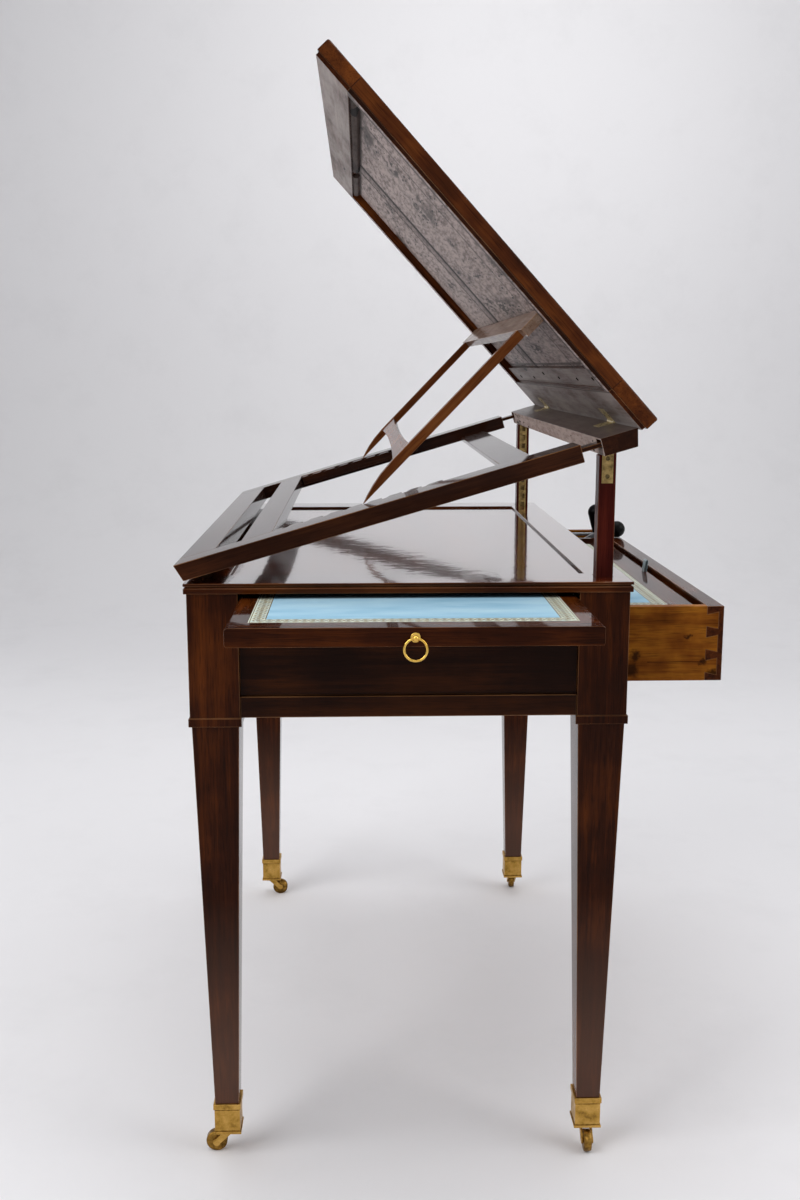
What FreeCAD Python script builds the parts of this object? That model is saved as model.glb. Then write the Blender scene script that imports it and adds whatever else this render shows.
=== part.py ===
import FreeCAD, Part
import os
import re
import Sketcher
from FreeCAD import Placement, Rotation, Vector

# An architect's writing table, in millimetres, standing as it was photographed:
# top raised and tilted, drawer open, one end slide pulled out.
# X runs from the back to the user's side, Y along the table, Z up from the floor.
# "Near" is the end at negative Y, "far" the end at positive Y.

# Driving sizes

SIZES = {
    # Fits: running shafts, faces that slide or rest, and how far a tool passes its piece
    "shaft_fit": 0.05,
    "rest_gap": 0.3,
    "side_gap": 0.5,
    "overcut": 1.0,
    # Carcass
    "carcass_length": 842.0,
    "carcass_depth": 507.0,
    "carcass_height": 718.0,
    "top_thickness": 12.0,
    "top_lip": 3.5,
    "groove_height": 2.0,
    "groove_depth": 2.5,
    "top_overhang": 3.0,
    "border_across": 47.0,
    "border_along": 60.0,
    "field_drop": 3.0,
    "stile": 57.5,
    "collar_height": 10.0,
    "collar_proud": 1.6,
    "leg_top": 54.0,
    "leg_foot": 29.0,
    "rail_height": 25.0,
    "rail_thickness": 20.0,
    "rail_setback": 1.5,
    "front_setback": 1.0,
    "front_rail_thickness": 20.5,
    "panel_setback": 6.0,
    "panel_thickness": 10.0,
    "back_thickness": 14.0,
    "top_rail_height": 27.5,
    "top_rail_thickness": 18.0,
    "top_rail_housing": 5.5,
    "dust_thickness": 2.0,
    "guide_thickness": 12.0,
    "guide_gap": 0.7,
    "dust_inset": 2.0,
    "runner_width": 15.5,
    "runner_height": 12.0,
    # Sabots and castors
    "caster_height": 30.0,
    "sabot_height": 40.0,
    "sabot_width": 31.0,
    "sabot_rim": 33.4,
    "sabot_rim_height": 7.0,
    "sabot_base": 3.0,
    "foot_tenon": 20.0,
    "wheel_radius": 13.0,
    "wheel_width": 9.0,
    "wheel_round": 2.0,
    "wheel_trail": 15.0,
    "cheek_thickness": 2.4,
    "axle_radius": 2.0,
    "stem_radius": 4.0,
    "stem_length": 15.0,
    "stem_hole": 17.0,
    "swivel_radius": 10.0,
    "swivel_thickness": 3.2,
    "wheel_gap": 0.4,
    "cheek_end": 4.5,
    # Lift
    "lift_rise": 142.0,
    "upright_width": 19.5,
    "upright_length": 262.0,
    "upright_inset_x": 14.75,
    "upright_inset_y": 8.0,
    "upright_gap": 0.6,
    "upright_fall": 3.9,
    "mortise_room": 7.0,
    "slide_fit": 0.4,
    "rack_width": 12.0,
    "rack_thickness": 3.0,
    "rack_slot_width": 7.0,
    "rack_slot_height": 8.5,
    "rack_slots": 14,
    "rack_slots_below": 2,
    "rack_margin": 5.5,
    "strap_width": 13.0,
    "strap_thickness": 3.0,
    "strap_length": 42.0,
    "pinion_radius": 11.5,
    "pinion_tip": 13.7,
    "pinion_hub": 8.5,
    "pinion_tooth": 4.2,
    "pinion_width": 6.4,
    "pinion_teeth": 5,
    "pinion_seat": 9.5,
    "pinion_room": 0.55,
    "arbor_radius": 2.8,
    "arbor_square": 3.8,
    "escutcheon_radius": 8.0,
    "escutcheon_thickness": 1.5,
    "arbor_square_length": 7.0,
    # Tilting frame and hinge block
    "frame_gap": 2.0,
    "frame_thickness": 20.0,
    "frame_over": 1.0,
    "frame_inset": 1.5,
    "frame_undercut": 5.5,
    "frame_rail_width": 50.0,
    "rear_rail_width": 43.5,
    "slat_start": 73.0,
    "slat_width": 37.0,
    "slat_thickness": 14.0,
    "cross_back": 77.5,
    "cross_width": 40.0,
    "cross_thickness": 7.0,
    "tongue_length": 30.0,
    "tongue_thickness": 5.0,
    "tongue_drop": 4.5,
    "tongue_width": 26.0,
    "tongue_margin": 4.0,
    "tongue_side": 1.0,
    "tongue_end": 3.5,
    "tongue_below": 2.0,
    "tongue_above": 2.7,
    "ratchet_start": 112.0,
    "ratchet_width": 20.0,
    "ratchet_drop": 0.8,
    "ratchet_depth": 13.0,
    "notch_first": 123.2,
    "notch_pitch": 24.0,
    "notch_count": 8,
    "notch_depth": 2.5,
    "notch_width": 12.0,
    "notch_back": 1.0,
    "notch_lean": 1.0,
    "notch_rest": 4,
    "pivot_depth": 6.0,
    "pin_radius": 2.0,
    "pin_seat": 0.02,
    "pin_inner": 7.0,
    "pin_outer": 2.5,
    "strap_swing": 3.0,
    "block_rear": 11.9,
    "block_front": 31.0,
    "block_undercut": 5.0,
    "joint_gap": 0.6,
    # Hinges
    "rear_axis_out": 2.5,
    "board_axis_out": 0.5,
    "hinge_in": 151.0,
    "hinge_length": 40.0,
    "hinge_leaf": 18.0,
    "barrel_radius": 2.2,
    "hinge_pin": 1.1,
    "leaf_start": 2.6,
    "leaf_gap": 0.1,
    "leaf_metal": 1.0,
    "knuckle_gap": 0.2,
    # Board
    "board_over": 9.0,
    "board_extra": 21.0,
    "board_thickness": 21.0,
    "board_gap": 0.5,
    "board_nose": 6.5,
    "edge_step": 2.5,
    "edge_step_height": 4.5,
    "bottom_rail": 59.0,
    "top_rail": 50.5,
    "board_side": 24.0,
    "board_panel": 9.0,
    "batten_width": 27.5,
    "batten_thickness": 6.0,
    # Prop
    "prop_seat": 162.0,
    "prop_depth": 6.2,
    "prop_length": 292.1,
    "prop_thickness": 11.0,
    "prop_arm_width": 15.0,
    "prop_arm_in": 10.0,
    "prop_head": 30.0,
    "prop_taper": 60.0,
    "prop_pin": 2.5,
    "prop_pin_reach": 10.0,
    "prop_pin_hole": 11.0,
    "prop_lift": 0.4,
    "brace_place": 219.0,
    "brace_width": 28.0,
    "brace_waist": 5.0,
    "brace_thickness": 8.0,
    # Drawer and writing leaf
    "drawer_open": 125.5,
    "drawer_setback": 0.1,
    "drawer_height": 90.5,
    "drawer_clear": 0.5,
    "drawer_side_clear": 2.0,
    "drawer_behind": 42.4,
    "drawer_front": 20.4,
    "drawer_side": 12.0,
    "drawer_floor": 8.0,
    "drawer_floor_up": 5.0,
    "drawer_back_drop": 6.0,
    "tail_length": 14.0,
    "tail_root": 14.0,
    "tail_flare": 3.0,
    "tail_pitch": 28.0,
    "tail_count": 3,
    "tray_width": 98.5,
    "partition_thickness": 8.0,
    "tray_length": 155.6,
    "tray_floor": 4.0,
    "tray_depth": 26.5,
    "tray_stop": 6.0,
    "leaf_depth": 300.0,
    "leaf_thickness": 10.0,
    "leaf_drop": 5.5,
    "leaf_setback": 5.6,
    "leaf_clear": 1.0,
    "leaf_runner": 5.0,
    "leaf_runner_width": 8.0,
    "leaf_margin": 24.0,
    "leaf_front_margin": 32.0,
    "leather_thickness": 1.0,
    # End slides and pulls
    "slide_meet": 28.0,
    "slide_side": 1.5,
    "slide_thickness": 20.0,
    "slide_clear": 0.3,
    "slide_open": 163.0,
    "slide_margin": 21.5,
    "slide_front_margin": 28.0,
    "ring_radius": 11.5,
    "ring_wire": 1.3,
    "ring_stand": 5.5,
    "boss_radius": 3.4,
    "boss_hole": 1.9,
    "boss_foot": 5.0,
    "boss_foot_thickness": 1.2,
    "boss_neck": 2.0,
    "boss_drop": 0.3,
    # Crank handles
    "crank_reach": 70.0,
    "crank_bar": 4.0,
    "crank_bar_width": 10.0,
    "crank_socket": 5.5,
    "crank_socket_length": 20.7,
    "crank_square": 4.4,
    "crank_socket_floor": 2.0,
    "crank_eye": 6.0,
    "crank_a_in": 8.0,
    "crank_a_side": 21.25,
    "crank_b_over": 13.5,
    "crank_b_gap": 2.0,
    "crank_spacing": 34.0,
    "knob_radius": 13.6,
    "knob_stem": 4.5,
    "knob_length": 48.7,
    "knob_gap": 0.3,
    "knob_cap": 4.0,
    "knob_neck_share": 0.24,
    "spindle_radius": 2.5,
}

# Places worked out from the sizes

PLACES = {
    "top_under": "carcass_height - top_thickness",
    "half_length": "carcass_length / 2",
    "half_depth": "carcass_depth / 2",
    "stile_out_x": "half_depth - top_overhang",
    "stile_in_x": "stile_out_x - stile",
    "stile_out_y": "half_length - top_overhang",
    "stile_in_y": "stile_out_y - stile",
    "top_rail_low": "top_under - top_rail_height",
    "drawer_rim": "top_rail_low - 2 * drawer_clear",
    "drawer_low": "drawer_rim - drawer_height",
    "rail_top": "drawer_low - drawer_clear",
    "collar_top": "rail_top - rail_height",
    "collar_low": "collar_top - collar_height",
    "sabot_top": "caster_height + sabot_height",
    "hinge_place": "half_length - hinge_in",
    "board_length": "carcass_length + 2 * board_over",
    "board_depth": "carcass_depth + board_extra",
    "slide_width": "2 * (stile_in_x - slide_side)",
    "slide_length": "stile_out_y - slide_meet",
    "leg_x": "stile_out_x - stile / 2",
    "leg_y": "stile_out_y - stile / 2",
    "rail_out_y": "stile_out_y - rail_setback",
    "panel_out_y": "stile_out_y - panel_setback",
    "panel_in_y": "panel_out_y - panel_thickness",
    "back_out_x": "stile_out_x - 3 * rail_setback",
    "back_in_x": "back_out_x - back_thickness",
    "front_out_x": "stile_out_x - front_setback",
    "front_in_x": "front_out_x - front_rail_thickness",
    "dust_low": "drawer_rim + drawer_clear",
    "dust_top": "dust_low + dust_thickness",
    "slide_low": "dust_top + slide_clear",
    "slide_top": "slide_low + slide_thickness",
    "slide_middle": "slide_low + slide_thickness / 2 - boss_drop",
    "upright_x": "stile_out_x - upright_inset_x - upright_width / 2",
    "upright_in_y": "stile_in_y + upright_inset_y",
    "upright_out_y": "upright_in_y + upright_width",
    "upright_y": "upright_in_y + upright_width / 2",
    "pinion_y": "upright_in_y - pinion_seat",
    "pinion_z": "top_under - pinion_tip - pinion_room",
    "rack_pitch": "2 * pi * pinion_radius / pinion_teeth",
    # The rear hinge axis, the uprights' pivots and the tilt they give the frame
    "rear_x": "-(half_depth + rear_axis_out)",
    "rear_z": "carcass_height + frame_gap / 2",
    "frame_low": "frame_gap / 2",
    "frame_high": "frame_low + frame_thickness",
    "pivot_up": "frame_low + pivot_depth",
    "pivot_reach": "upright_x - rear_x",
    "pivot_z": "rear_z + pivot_up + lift_rise",
    "pivot_slant": "sqrt(pivot_reach ^ 2 + (pivot_up + lift_rise) ^ 2)",
    "frame_tilt": "atan((pivot_up + lift_rise) / pivot_reach) - asin(pivot_up / pivot_slant)",
    "frame_reach": "sqrt(pivot_slant ^ 2 - pivot_up ^ 2)",
    "rail_end": "pivot_reach - block_rear - joint_gap",
    "frame_out_y": "half_length + frame_over",
    "frame_in_y": "frame_out_y - frame_rail_width",
    "cross_start": "rail_end - cross_back",
    "tongue_outer": "frame_out_y - tongue_margin",
    "tongue_inner": "tongue_outer - tongue_width",
    "prop_arm_place": "frame_in_y - prop_arm_in",
    "ratchet_high": "frame_high - ratchet_drop",
    "upright_top": "pivot_z - pivot_depth - upright_gap",
    "upright_low": "upright_top - upright_length",
    "block_low": "-pivot_depth",
    "block_high": "frame_thickness - pivot_depth",
    # The board's hinge axis, its slope and the prop that holds it
    "axis_x": "block_front + board_axis_out",
    "axis_z": "block_high + board_gap / 2",
    "board_x": "upright_x + axis_x * cos(frame_tilt) - axis_z * sin(frame_tilt)",
    "board_z": "pivot_z + axis_x * sin(frame_tilt) + axis_z * cos(frame_tilt)",
    "board_low": "board_gap / 2",
    "board_high": "board_low + board_thickness",
    "panel_low": "board_high - board_panel",
    "board_half": "board_length / 2",
    "board_side_in": "board_half - board_side",
    "rail_start": "board_nose - bottom_rail",
    "board_end": "board_nose - board_depth",
    "half_prop": "prop_thickness / 2",
    "seat_up": "board_low + prop_depth",
    "seat_reach": "sqrt(prop_seat ^ 2 + seat_up ^ 2)",
    "seat_rise": "atan(seat_up / prop_seat)",
    "tip_reach": "sqrt(prop_length ^ 2 + half_prop ^ 2)",
    "tip_run": "frame_reach + axis_x - notch_first - notch_rest * notch_pitch",
    "tip_fall": "pivot_up + axis_z - ratchet_high - prop_lift",
    "tip_span": "sqrt(tip_run ^ 2 + tip_fall ^ 2)",
    "tip_cosine": "(seat_reach ^ 2 + tip_span ^ 2 - tip_reach ^ 2) / (2 * seat_reach * tip_span)",
    "seat_angle": "acos(tip_cosine) - atan(tip_fall / tip_run)",
    "board_open": "seat_angle - seat_rise",
    "board_slope": "board_open - frame_tilt",
    "prop_run": "tip_run - seat_reach * cos(seat_angle)",
    "prop_fall": "tip_fall + seat_reach * sin(seat_angle)",
    "prop_slope": "atan(prop_fall / prop_run) - atan(half_prop / prop_length) + frame_tilt",
    "prop_x": "board_x - prop_seat * cos(board_slope) + seat_up * sin(board_slope)",
    "prop_z": "board_z + prop_seat * sin(board_slope) + seat_up * cos(board_slope)",
    # Drawer, leaf and cranks
    "drawer_face": "stile_out_x - drawer_setback + drawer_open",
    "drawer_inner": "drawer_face - drawer_front",
    "drawer_depth": "stile_out_x - drawer_setback + back_in_x - drawer_behind",
    "drawer_rear": "drawer_face - drawer_depth",
    "drawer_out_y": "stile_in_y - drawer_side_clear",
    "drawer_in_y": "drawer_out_y - drawer_side",
    "floor_low": "drawer_low + drawer_floor_up",
    "floor_top": "floor_low + drawer_floor",
    "tray_top": "drawer_rim - tray_depth",
    "partition_out": "drawer_in_y - tray_width",
    "partition_place": "partition_out - partition_thickness",
    "leaf_top": "drawer_rim - leaf_drop",
    "leaf_low": "leaf_top - leaf_thickness",
    "leaf_front": "drawer_inner - leaf_setback",
    "leaf_rear": "leaf_front - leaf_depth",
    "leaf_near": "leaf_clear - drawer_in_y",
    "leaf_far": "partition_place - leaf_clear",
    "crank_z": "tray_top + rest_gap + crank_socket_length",
    "crank_a_x": "drawer_inner - crank_a_in",
    "crank_a_y": "drawer_in_y - crank_a_side",
    "crank_b_x": "drawer_inner + crank_b_over",
    "crank_b_y": "crank_a_y - crank_spacing",
    "crank_b_z": "drawer_rim + knob_radius + rest_gap",
    "crank_b_drop": "asin((crank_b_z - tray_top - crank_socket - crank_b_gap) / crank_reach)",
    "slide_near_face": "-(stile_out_y + slide_open)",
}

SIDES = (("near", -1), ("far", 1))
CORNERS = (
    ("front_near", 1, -1, 270),
    ("front_far", 1, 1, 90),
    ("rear_near", -1, -1, 180),
    ("rear_far", -1, 1, 0),
)

doc = FreeCAD.newDocument("ArchitectTable")
sizes = doc.addObject("Spreadsheet::Sheet", "Sizes")
places = doc.addObject("Spreadsheet::Sheet", "Places")
home = {}
nodes = []


# Helpers

def formula(text):
    """Write sheet names before every size and place that a formula uses."""
    return re.sub(r"[a-z_]+", lambda word: home.get(word.group(), "") + word.group(), text)


def number(text):
    """Work out a formula as a plain number."""
    value = places.evalExpression(formula(text))
    return float(getattr(value, "Value", value))


def fill_sheets():
    """Write the driving sizes and the places worked out from them."""
    for row, (alias, value) in enumerate(SIZES.items(), 1):
        sizes.set(f"A{row}", str(value))
        sizes.setAlias(f"A{row}", alias)
        home[alias] = "Sizes."
    for alias in PLACES:
        home[alias] = "Places."
    for row, (alias, text) in enumerate(PLACES.items(), 1):
        places.set(f"A{row}", "=" + formula(text).replace("Places.", ""))
        places.setAlias(f"A{row}", alias)
    doc.recompute()


def across(sign, inner, outer):
    """Give the Y span between two distances from the middle, at one end."""
    if sign > 0:
        return inner, outer
    return f"-({outer})", f"-({inner})"


def slab(x_span, y_span, z_span):
    """Add a block between six faces, each written as a formula."""
    block = doc.addObject("Part::Box", "Slab")
    for size, axis, (low, high) in zip(("Length", "Width", "Height"), "xyz", (x_span, y_span, z_span)):
        block.setExpression(size, formula(f"({high}) - ({low})"))
        block.setExpression(f"Placement.Base.{axis}", formula(low))
    return block


def rod(axis, radius, span, centre):
    """Add a cylinder along one axis, with its centre given on the other two."""
    turns = {
        "x": Rotation(Vector(0, 1, 0), 90),
        "y": Rotation(Vector(1, 0, 0), -90),
        "z": Rotation(),
    }
    cylinder = doc.addObject("Part::Cylinder", "Rod")
    cylinder.Placement = Placement(Vector(), turns[axis])
    cylinder.setExpression("Radius", formula(radius))
    cylinder.setExpression("Height", formula(f"({span[1]}) - ({span[0]})"))
    others = [name for name in "xyz" if name != axis]
    cylinder.setExpression(f"Placement.Base.{axis}", formula(span[0]))
    for name, text in zip(others, centre):
        cylinder.setExpression(f"Placement.Base.{name}", formula(text))
    return cylinder


def fuse(*pieces):
    """Join pieces into one solid."""
    joined = doc.addObject("Part::MultiFuse", "Fuse")
    joined.Shapes = list(pieces)
    joined.Refine = True
    return joined


def cut(base, *tools):
    """Cut tools out of a base, one after another."""
    for tool in tools:
        result = doc.addObject("Part::Cut", "Cut")
        result.Base = base
        result.Tool = tool
        base = result
    return base


def group(*pieces):
    """Hold separate solids together as one sub-part."""
    bundle = doc.addObject("Part::Compound", "Group")
    bundle.Links = list(pieces)
    return bundle


def place(piece, x="0", y="0", z="0", axis=None, angle="0"):
    """Set a piece down at a point, turned about an axis."""
    if axis is not None:
        piece.Placement = Placement(Vector(), Rotation(Vector(*axis), 1))
        piece.setExpression("Placement.Rotation.Angle", formula(angle))
    for name, text in zip("xyz", (x, y, z)):
        piece.setExpression(f"Placement.Base.{name}", formula(text))
    return piece


def on_frame(piece):
    """Set a piece built at the rear hinge axis down at the frame's tilt."""
    return place(piece, "rear_x", "0", "rear_z", (0, -1, 0), "frame_tilt")


def on_block(piece):
    """Set a piece built at the uprights' pivot down at the frame's tilt."""
    return place(piece, "upright_x", "0", "pivot_z", (0, -1, 0), "frame_tilt")


def on_board(piece):
    """Set a piece built at the board's hinge axis down at the board's slope."""
    return place(piece, "board_x", "0", "board_z", (0, 1, 0), "board_slope")


def on_prop(piece):
    """Set a piece built at the prop's pivot down at the prop's slope."""
    return place(piece, "prop_x", "0", "prop_z", (0, -1, 0), "prop_slope")


def node(label, piece):
    """Name a finished sub-part."""
    piece.Label = label
    nodes.append(piece)
    return piece


def new_body(name):
    """Start a body for sketched features."""
    return doc.addObject("PartDesign::Body", name)


def origin_item(body, role):
    """Find one of a body's own planes or axes."""
    return next(item for item in body.Origin.OriginFeatures if item.Role == role)


def new_sketch(body, plane, offset):
    """Start a sketch on one of a body's planes, lifted along its normal."""
    sketch = body.newObject("Sketcher::SketchObject", "Sketch")
    sketch.AttachmentSupport = [(origin_item(body, plane), "")]
    sketch.MapMode = "FlatFace"
    sketch.setExpression("AttachmentOffset.Base.z", formula(offset))
    return sketch


def fix_point(sketch, line, point):
    """Hold the first end of a line at a point written as two formulas."""
    for kind, text in zip(("DistanceX", "DistanceY"), point):
        index = sketch.addConstraint(Sketcher.Constraint(kind, -1, 1, line, 1, number(text)))
        sketch.setExpression(f"Constraints[{index}]", formula(text))


def outline(body, plane, points, offset="0"):
    """Draw a closed outline of straight lines through points."""
    sketch = new_sketch(body, plane, offset)
    corners = [Vector(number(first), number(second), 0) for first, second in points]
    count = len(corners)
    for line in range(count):
        sketch.addGeometry(Part.LineSegment(corners[line], corners[(line + 1) % count]), False)
    for line in range(count):
        sketch.addConstraint(Sketcher.Constraint("Coincident", line, 2, (line + 1) % count, 1))
    for line, point in enumerate(points):
        fix_point(sketch, line, point)
    return sketch


def rectangle(body, plane, first_span, second_span, offset="0"):
    """Draw a rectangle between two spans."""
    left, right = first_span
    low, high = second_span
    return outline(body, plane, ((left, low), (right, low), (right, high), (left, high)), offset)


def square(body, side, offset):
    """Draw a square about the body's own Z axis."""
    span = (f"-({side}) / 2", f"({side}) / 2")
    return rectangle(body, "XY_Plane", span, span, offset)


def pad(body, sketch, length, middle=False):
    """Raise a sketch, to one side or to both."""
    feature = body.newObject("PartDesign::Pad", "Pad")
    feature.Profile = sketch
    feature.setExpression("Length", formula(length))
    if middle:
        feature.SideType = "Symmetric"
    return feature


def pocket(body, sketch, length, middle=False):
    """Sink a sketch into its body, to one side or to both."""
    feature = body.newObject("PartDesign::Pocket", "Pocket")
    feature.Profile = sketch
    feature.setExpression("Length", formula(length))
    if middle:
        feature.SideType = "Symmetric"
    return feature


def repeat(body, feature, role, length, count):
    """Repeat a feature along one of the body's axes."""
    doc.recompute()
    pattern = body.newObject("PartDesign::LinearPattern", "Row")
    pattern.Originals = [feature]
    pattern.Direction = (origin_item(body, role), [""])
    pattern.setExpression("Length", formula(length))
    pattern.setExpression("Occurrences", formula(count))
    body.Tip = pattern
    return pattern


# Carcass

def build_top():
    """The moulded border of the top and the field sunk inside it."""
    def layer(inset, low, high):
        return slab(
            (f"-half_depth + {inset}", f"half_depth - {inset}"),
            (f"-half_length + {inset}", f"half_length - {inset}"),
            (low, high),
        )

    groove_top = "carcass_height - top_lip"
    groove_low = "carcass_height - top_lip - groove_height"
    blank = fuse(
        layer("0", "top_under", groove_low),
        layer("groove_depth", groove_low, groove_top),
        layer("0", groove_top, "carcass_height"),
    )
    field = (
        ("-half_depth + border_across", "half_depth - border_across"),
        ("-half_length + border_along", "half_length - border_along"),
    )
    opening = slab(*field, ("top_under - overcut", "carcass_height + overcut"))
    hole = "(upright_width / 2 + slide_fit)"
    holes = [
        slab(
            (f"upright_x - {hole}", f"upright_x + {hole}"),
            across(sign, f"upright_y - {hole}", f"upright_y + {hole}"),
            ("top_under - overcut", "carcass_height + overcut"),
        )
        for _, sign in SIDES
    ]
    node("table_top", cut(blank, opening, *holes))
    node("top_panel", slab(*field, ("top_under", "carcass_height - field_drop")))


def leg_blank(sign_x, sign_y):
    """A stile with its collar, tapered leg and foot tenon, about the leg's axis."""
    body = new_body("Leg")
    pad(body, square(body, "stile", "collar_top"), "top_under - collar_top")
    pad(body, square(body, "stile + 2 * collar_proud", "collar_low"), "collar_height")
    taper = body.newObject("PartDesign::AdditiveLoft", "Taper")
    taper.Profile = square(body, "leg_top", "collar_low")
    taper.Sections = [square(body, "leg_foot", "sabot_top")]
    pad(body, square(body, "foot_tenon", "sabot_top - sabot_height / 2"), "sabot_height / 2")
    return place(body, f"{sign_x} * leg_x", f"{sign_y} * leg_y")


def build_legs():
    """Four legs; the front two are hollow for the uprights and the lifting gear."""
    hole = "(upright_width / 2 + slide_fit)"
    for corner, sign_x, sign_y, _ in CORNERS:
        leg = leg_blank(sign_x, sign_y)
        if sign_x > 0:
            mortise = slab(
                (f"upright_x - {hole}", f"upright_x + {hole}"),
                across(sign_y, f"upright_y - {hole}", f"upright_y + {hole}"),
                ("upright_low - lift_rise - mortise_room", "carcass_height"),
            )
            window = slab(
                ("upright_x - pinion_width", "stile_out_x - top_rail_thickness + side_gap"),
                across(sign_y, "stile_in_y - overcut", "upright_in_y"),
                ("pinion_z - pinion_tip - overcut", "top_under + overcut"),
            )
            housing = slab(
                ("stile_out_x - top_rail_thickness", "stile_out_x + overcut"),
                across(sign_y, "stile_in_y - overcut", "stile_in_y + top_rail_housing"),
                ("top_rail_low", "top_under + overcut"),
            )
            leg = cut(leg, mortise, window, housing)
        node(f"leg_{corner}", leg)


def build_rails():
    """Rails, panels, runners and guides between the legs."""
    between = ("-stile_in_x", "stile_in_x")
    along = ("-stile_in_y", "stile_in_y")
    rails = []
    panels = []
    bearers = []
    for _, sign in SIDES:
        rails.append(slab(
            between, across(sign, "rail_out_y - rail_thickness", "rail_out_y"), ("collar_top", "rail_top")))
        panels.append(slab(
            between, across(sign, "panel_in_y", "panel_out_y"), ("rail_top", "dust_low")))
        bearers.append(slab(
            ("-back_in_x", "front_in_x"),
            across(sign, "stile_in_y - runner_width", "stile_in_y"),
            ("drawer_low - rest_gap - runner_height", "drawer_low - rest_gap"),
        ))
        guide_in = "slide_width / 2 + guide_gap"
        guide = across(sign, guide_in, f"{guide_in} + guide_thickness")
        bearers.append(slab(guide, along, ("dust_top", "top_under")))
    node("end_rails", group(*rails))
    node("end_panels", group(*panels))
    node("runners", group(*bearers))
    node("back_panel", slab(("-back_out_x", "-back_in_x"), along, ("collar_top", "top_under")))
    node("front_bottom_rail", slab(("front_in_x", "front_out_x"), along, ("collar_top", "rail_top")))
    bores = [
        rod("x", "arbor_radius + shaft_fit", ("front_in_x", "stile_out_x + overcut"),
            (f"{sign} * pinion_y", "pinion_z"))
        for _, sign in SIDES
    ]
    rail_end = "stile_in_y + top_rail_housing"
    top_rail = slab(
        ("stile_out_x - top_rail_thickness", "stile_out_x"),
        (f"-({rail_end})", rail_end),
        ("top_rail_low", "top_under"),
    )
    node("front_top_rail", cut(top_rail, *bores))
    node("dust_board", slab(
        ("side_gap - stile_in_x", "stile_in_x - side_gap"),
        ("dust_inset - panel_out_y", "panel_out_y - dust_inset"),
        ("dust_low", "dust_top"),
    ))
    plates = []
    for _, sign in SIDES:
        centre = (f"{sign} * pinion_y", "pinion_z")
        depth = ("stile_out_x", "stile_out_x + escutcheon_thickness")
        disc = rod("x", "escutcheon_radius", depth, centre)
        eye = rod("x", "arbor_radius + rest_gap", depth, centre)
        plates.append(cut(disc, eye))
    node("escutcheons", group(*plates))


def build_sabots():
    """Square brass shoes, each with a socket for the foot tenon and a hole for the castor."""
    shoes = []
    for _, sign_x, sign_y, _ in CORNERS:
        body = new_body("Sabot")
        pad(body, square(body, "sabot_width", "caster_height"), "sabot_height")
        pad(body, square(body, "sabot_rim", "sabot_top - sabot_rim_height"), "sabot_rim_height")
        pad(body, square(body, "sabot_rim", "caster_height"), "sabot_base")
        pocket(body, square(body, "foot_tenon", "sabot_top"), "sabot_height / 2")
        place(body, f"{sign_x} * leg_x", f"{sign_y} * leg_y")
        shaft = rod(
            "z", "stem_radius + shaft_fit", ("caster_height - overcut", "caster_height + stem_hole"),
            (f"{sign_x} * leg_x", f"{sign_y} * leg_y"))
        shoes.append(cut(body, shaft))
    node("sabots", group(*shoes))


def build_casters():
    """Swivelling forks and wheels, built with the wheel trailing along X, then turned."""
    axle = ("wheel_trail", "wheel_radius")
    cheek_in = "wheel_width / 2 + wheel_gap"
    cheek_out = f"{cheek_in} + cheek_thickness"
    plate_top = "caster_height - side_gap"
    plate_low = f"{plate_top} - swivel_thickness"
    for corner, sign_x, sign_y, heading in CORNERS:
        parts = [
            rod("z", "swivel_radius", (plate_low, plate_top), ("0", "0")),
            rod("z", "stem_radius", (plate_low, "caster_height + stem_length"), ("0", "0")),
            rod("y", "axle_radius", (f"-({cheek_out})", cheek_out), axle),
        ]
        for _, sign in SIDES:
            cheek = new_body("Cheek")
            points = (
                ("-swivel_radius * 0.6", f"{plate_low} + overcut"),
                ("wheel_trail - cheek_end", "wheel_radius - overcut"),
                ("wheel_trail + cheek_end", "wheel_radius + overcut"),
                ("swivel_radius * 0.6", f"{plate_low} + overcut"),
            )
            pad(cheek, outline(cheek, "XZ_Plane", points), "cheek_thickness", middle=True)
            place(cheek, y=f"{sign} * ({cheek_in} + cheek_thickness / 2)")
            end = rod("y", "cheek_end", across(sign, cheek_in, cheek_out), axle)
            parts += [cheek, end]
        at = (f"{sign_x} * leg_x", f"{sign_y} * leg_y", "0")
        node(f"caster_fork_{corner}", place(fuse(*parts), *at, (0, 0, 1), f"{heading} deg"))
        drum = rod("y", "wheel_radius", ("-wheel_width / 2", "wheel_width / 2"), axle)
        tyre = doc.addObject("Part::Fillet", "Tyre")
        tyre.Base = drum
        tyre.Edges = [(edge, SIZES["wheel_round"], SIZES["wheel_round"]) for edge in (1, 3)]
        bore = rod("y", "axle_radius + shaft_fit", ("-wheel_width", "wheel_width"), axle)
        node(f"caster_wheel_{corner}", place(cut(tyre, bore), *at, (0, 0, 1), f"{heading} deg"))


# Hinges

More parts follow.
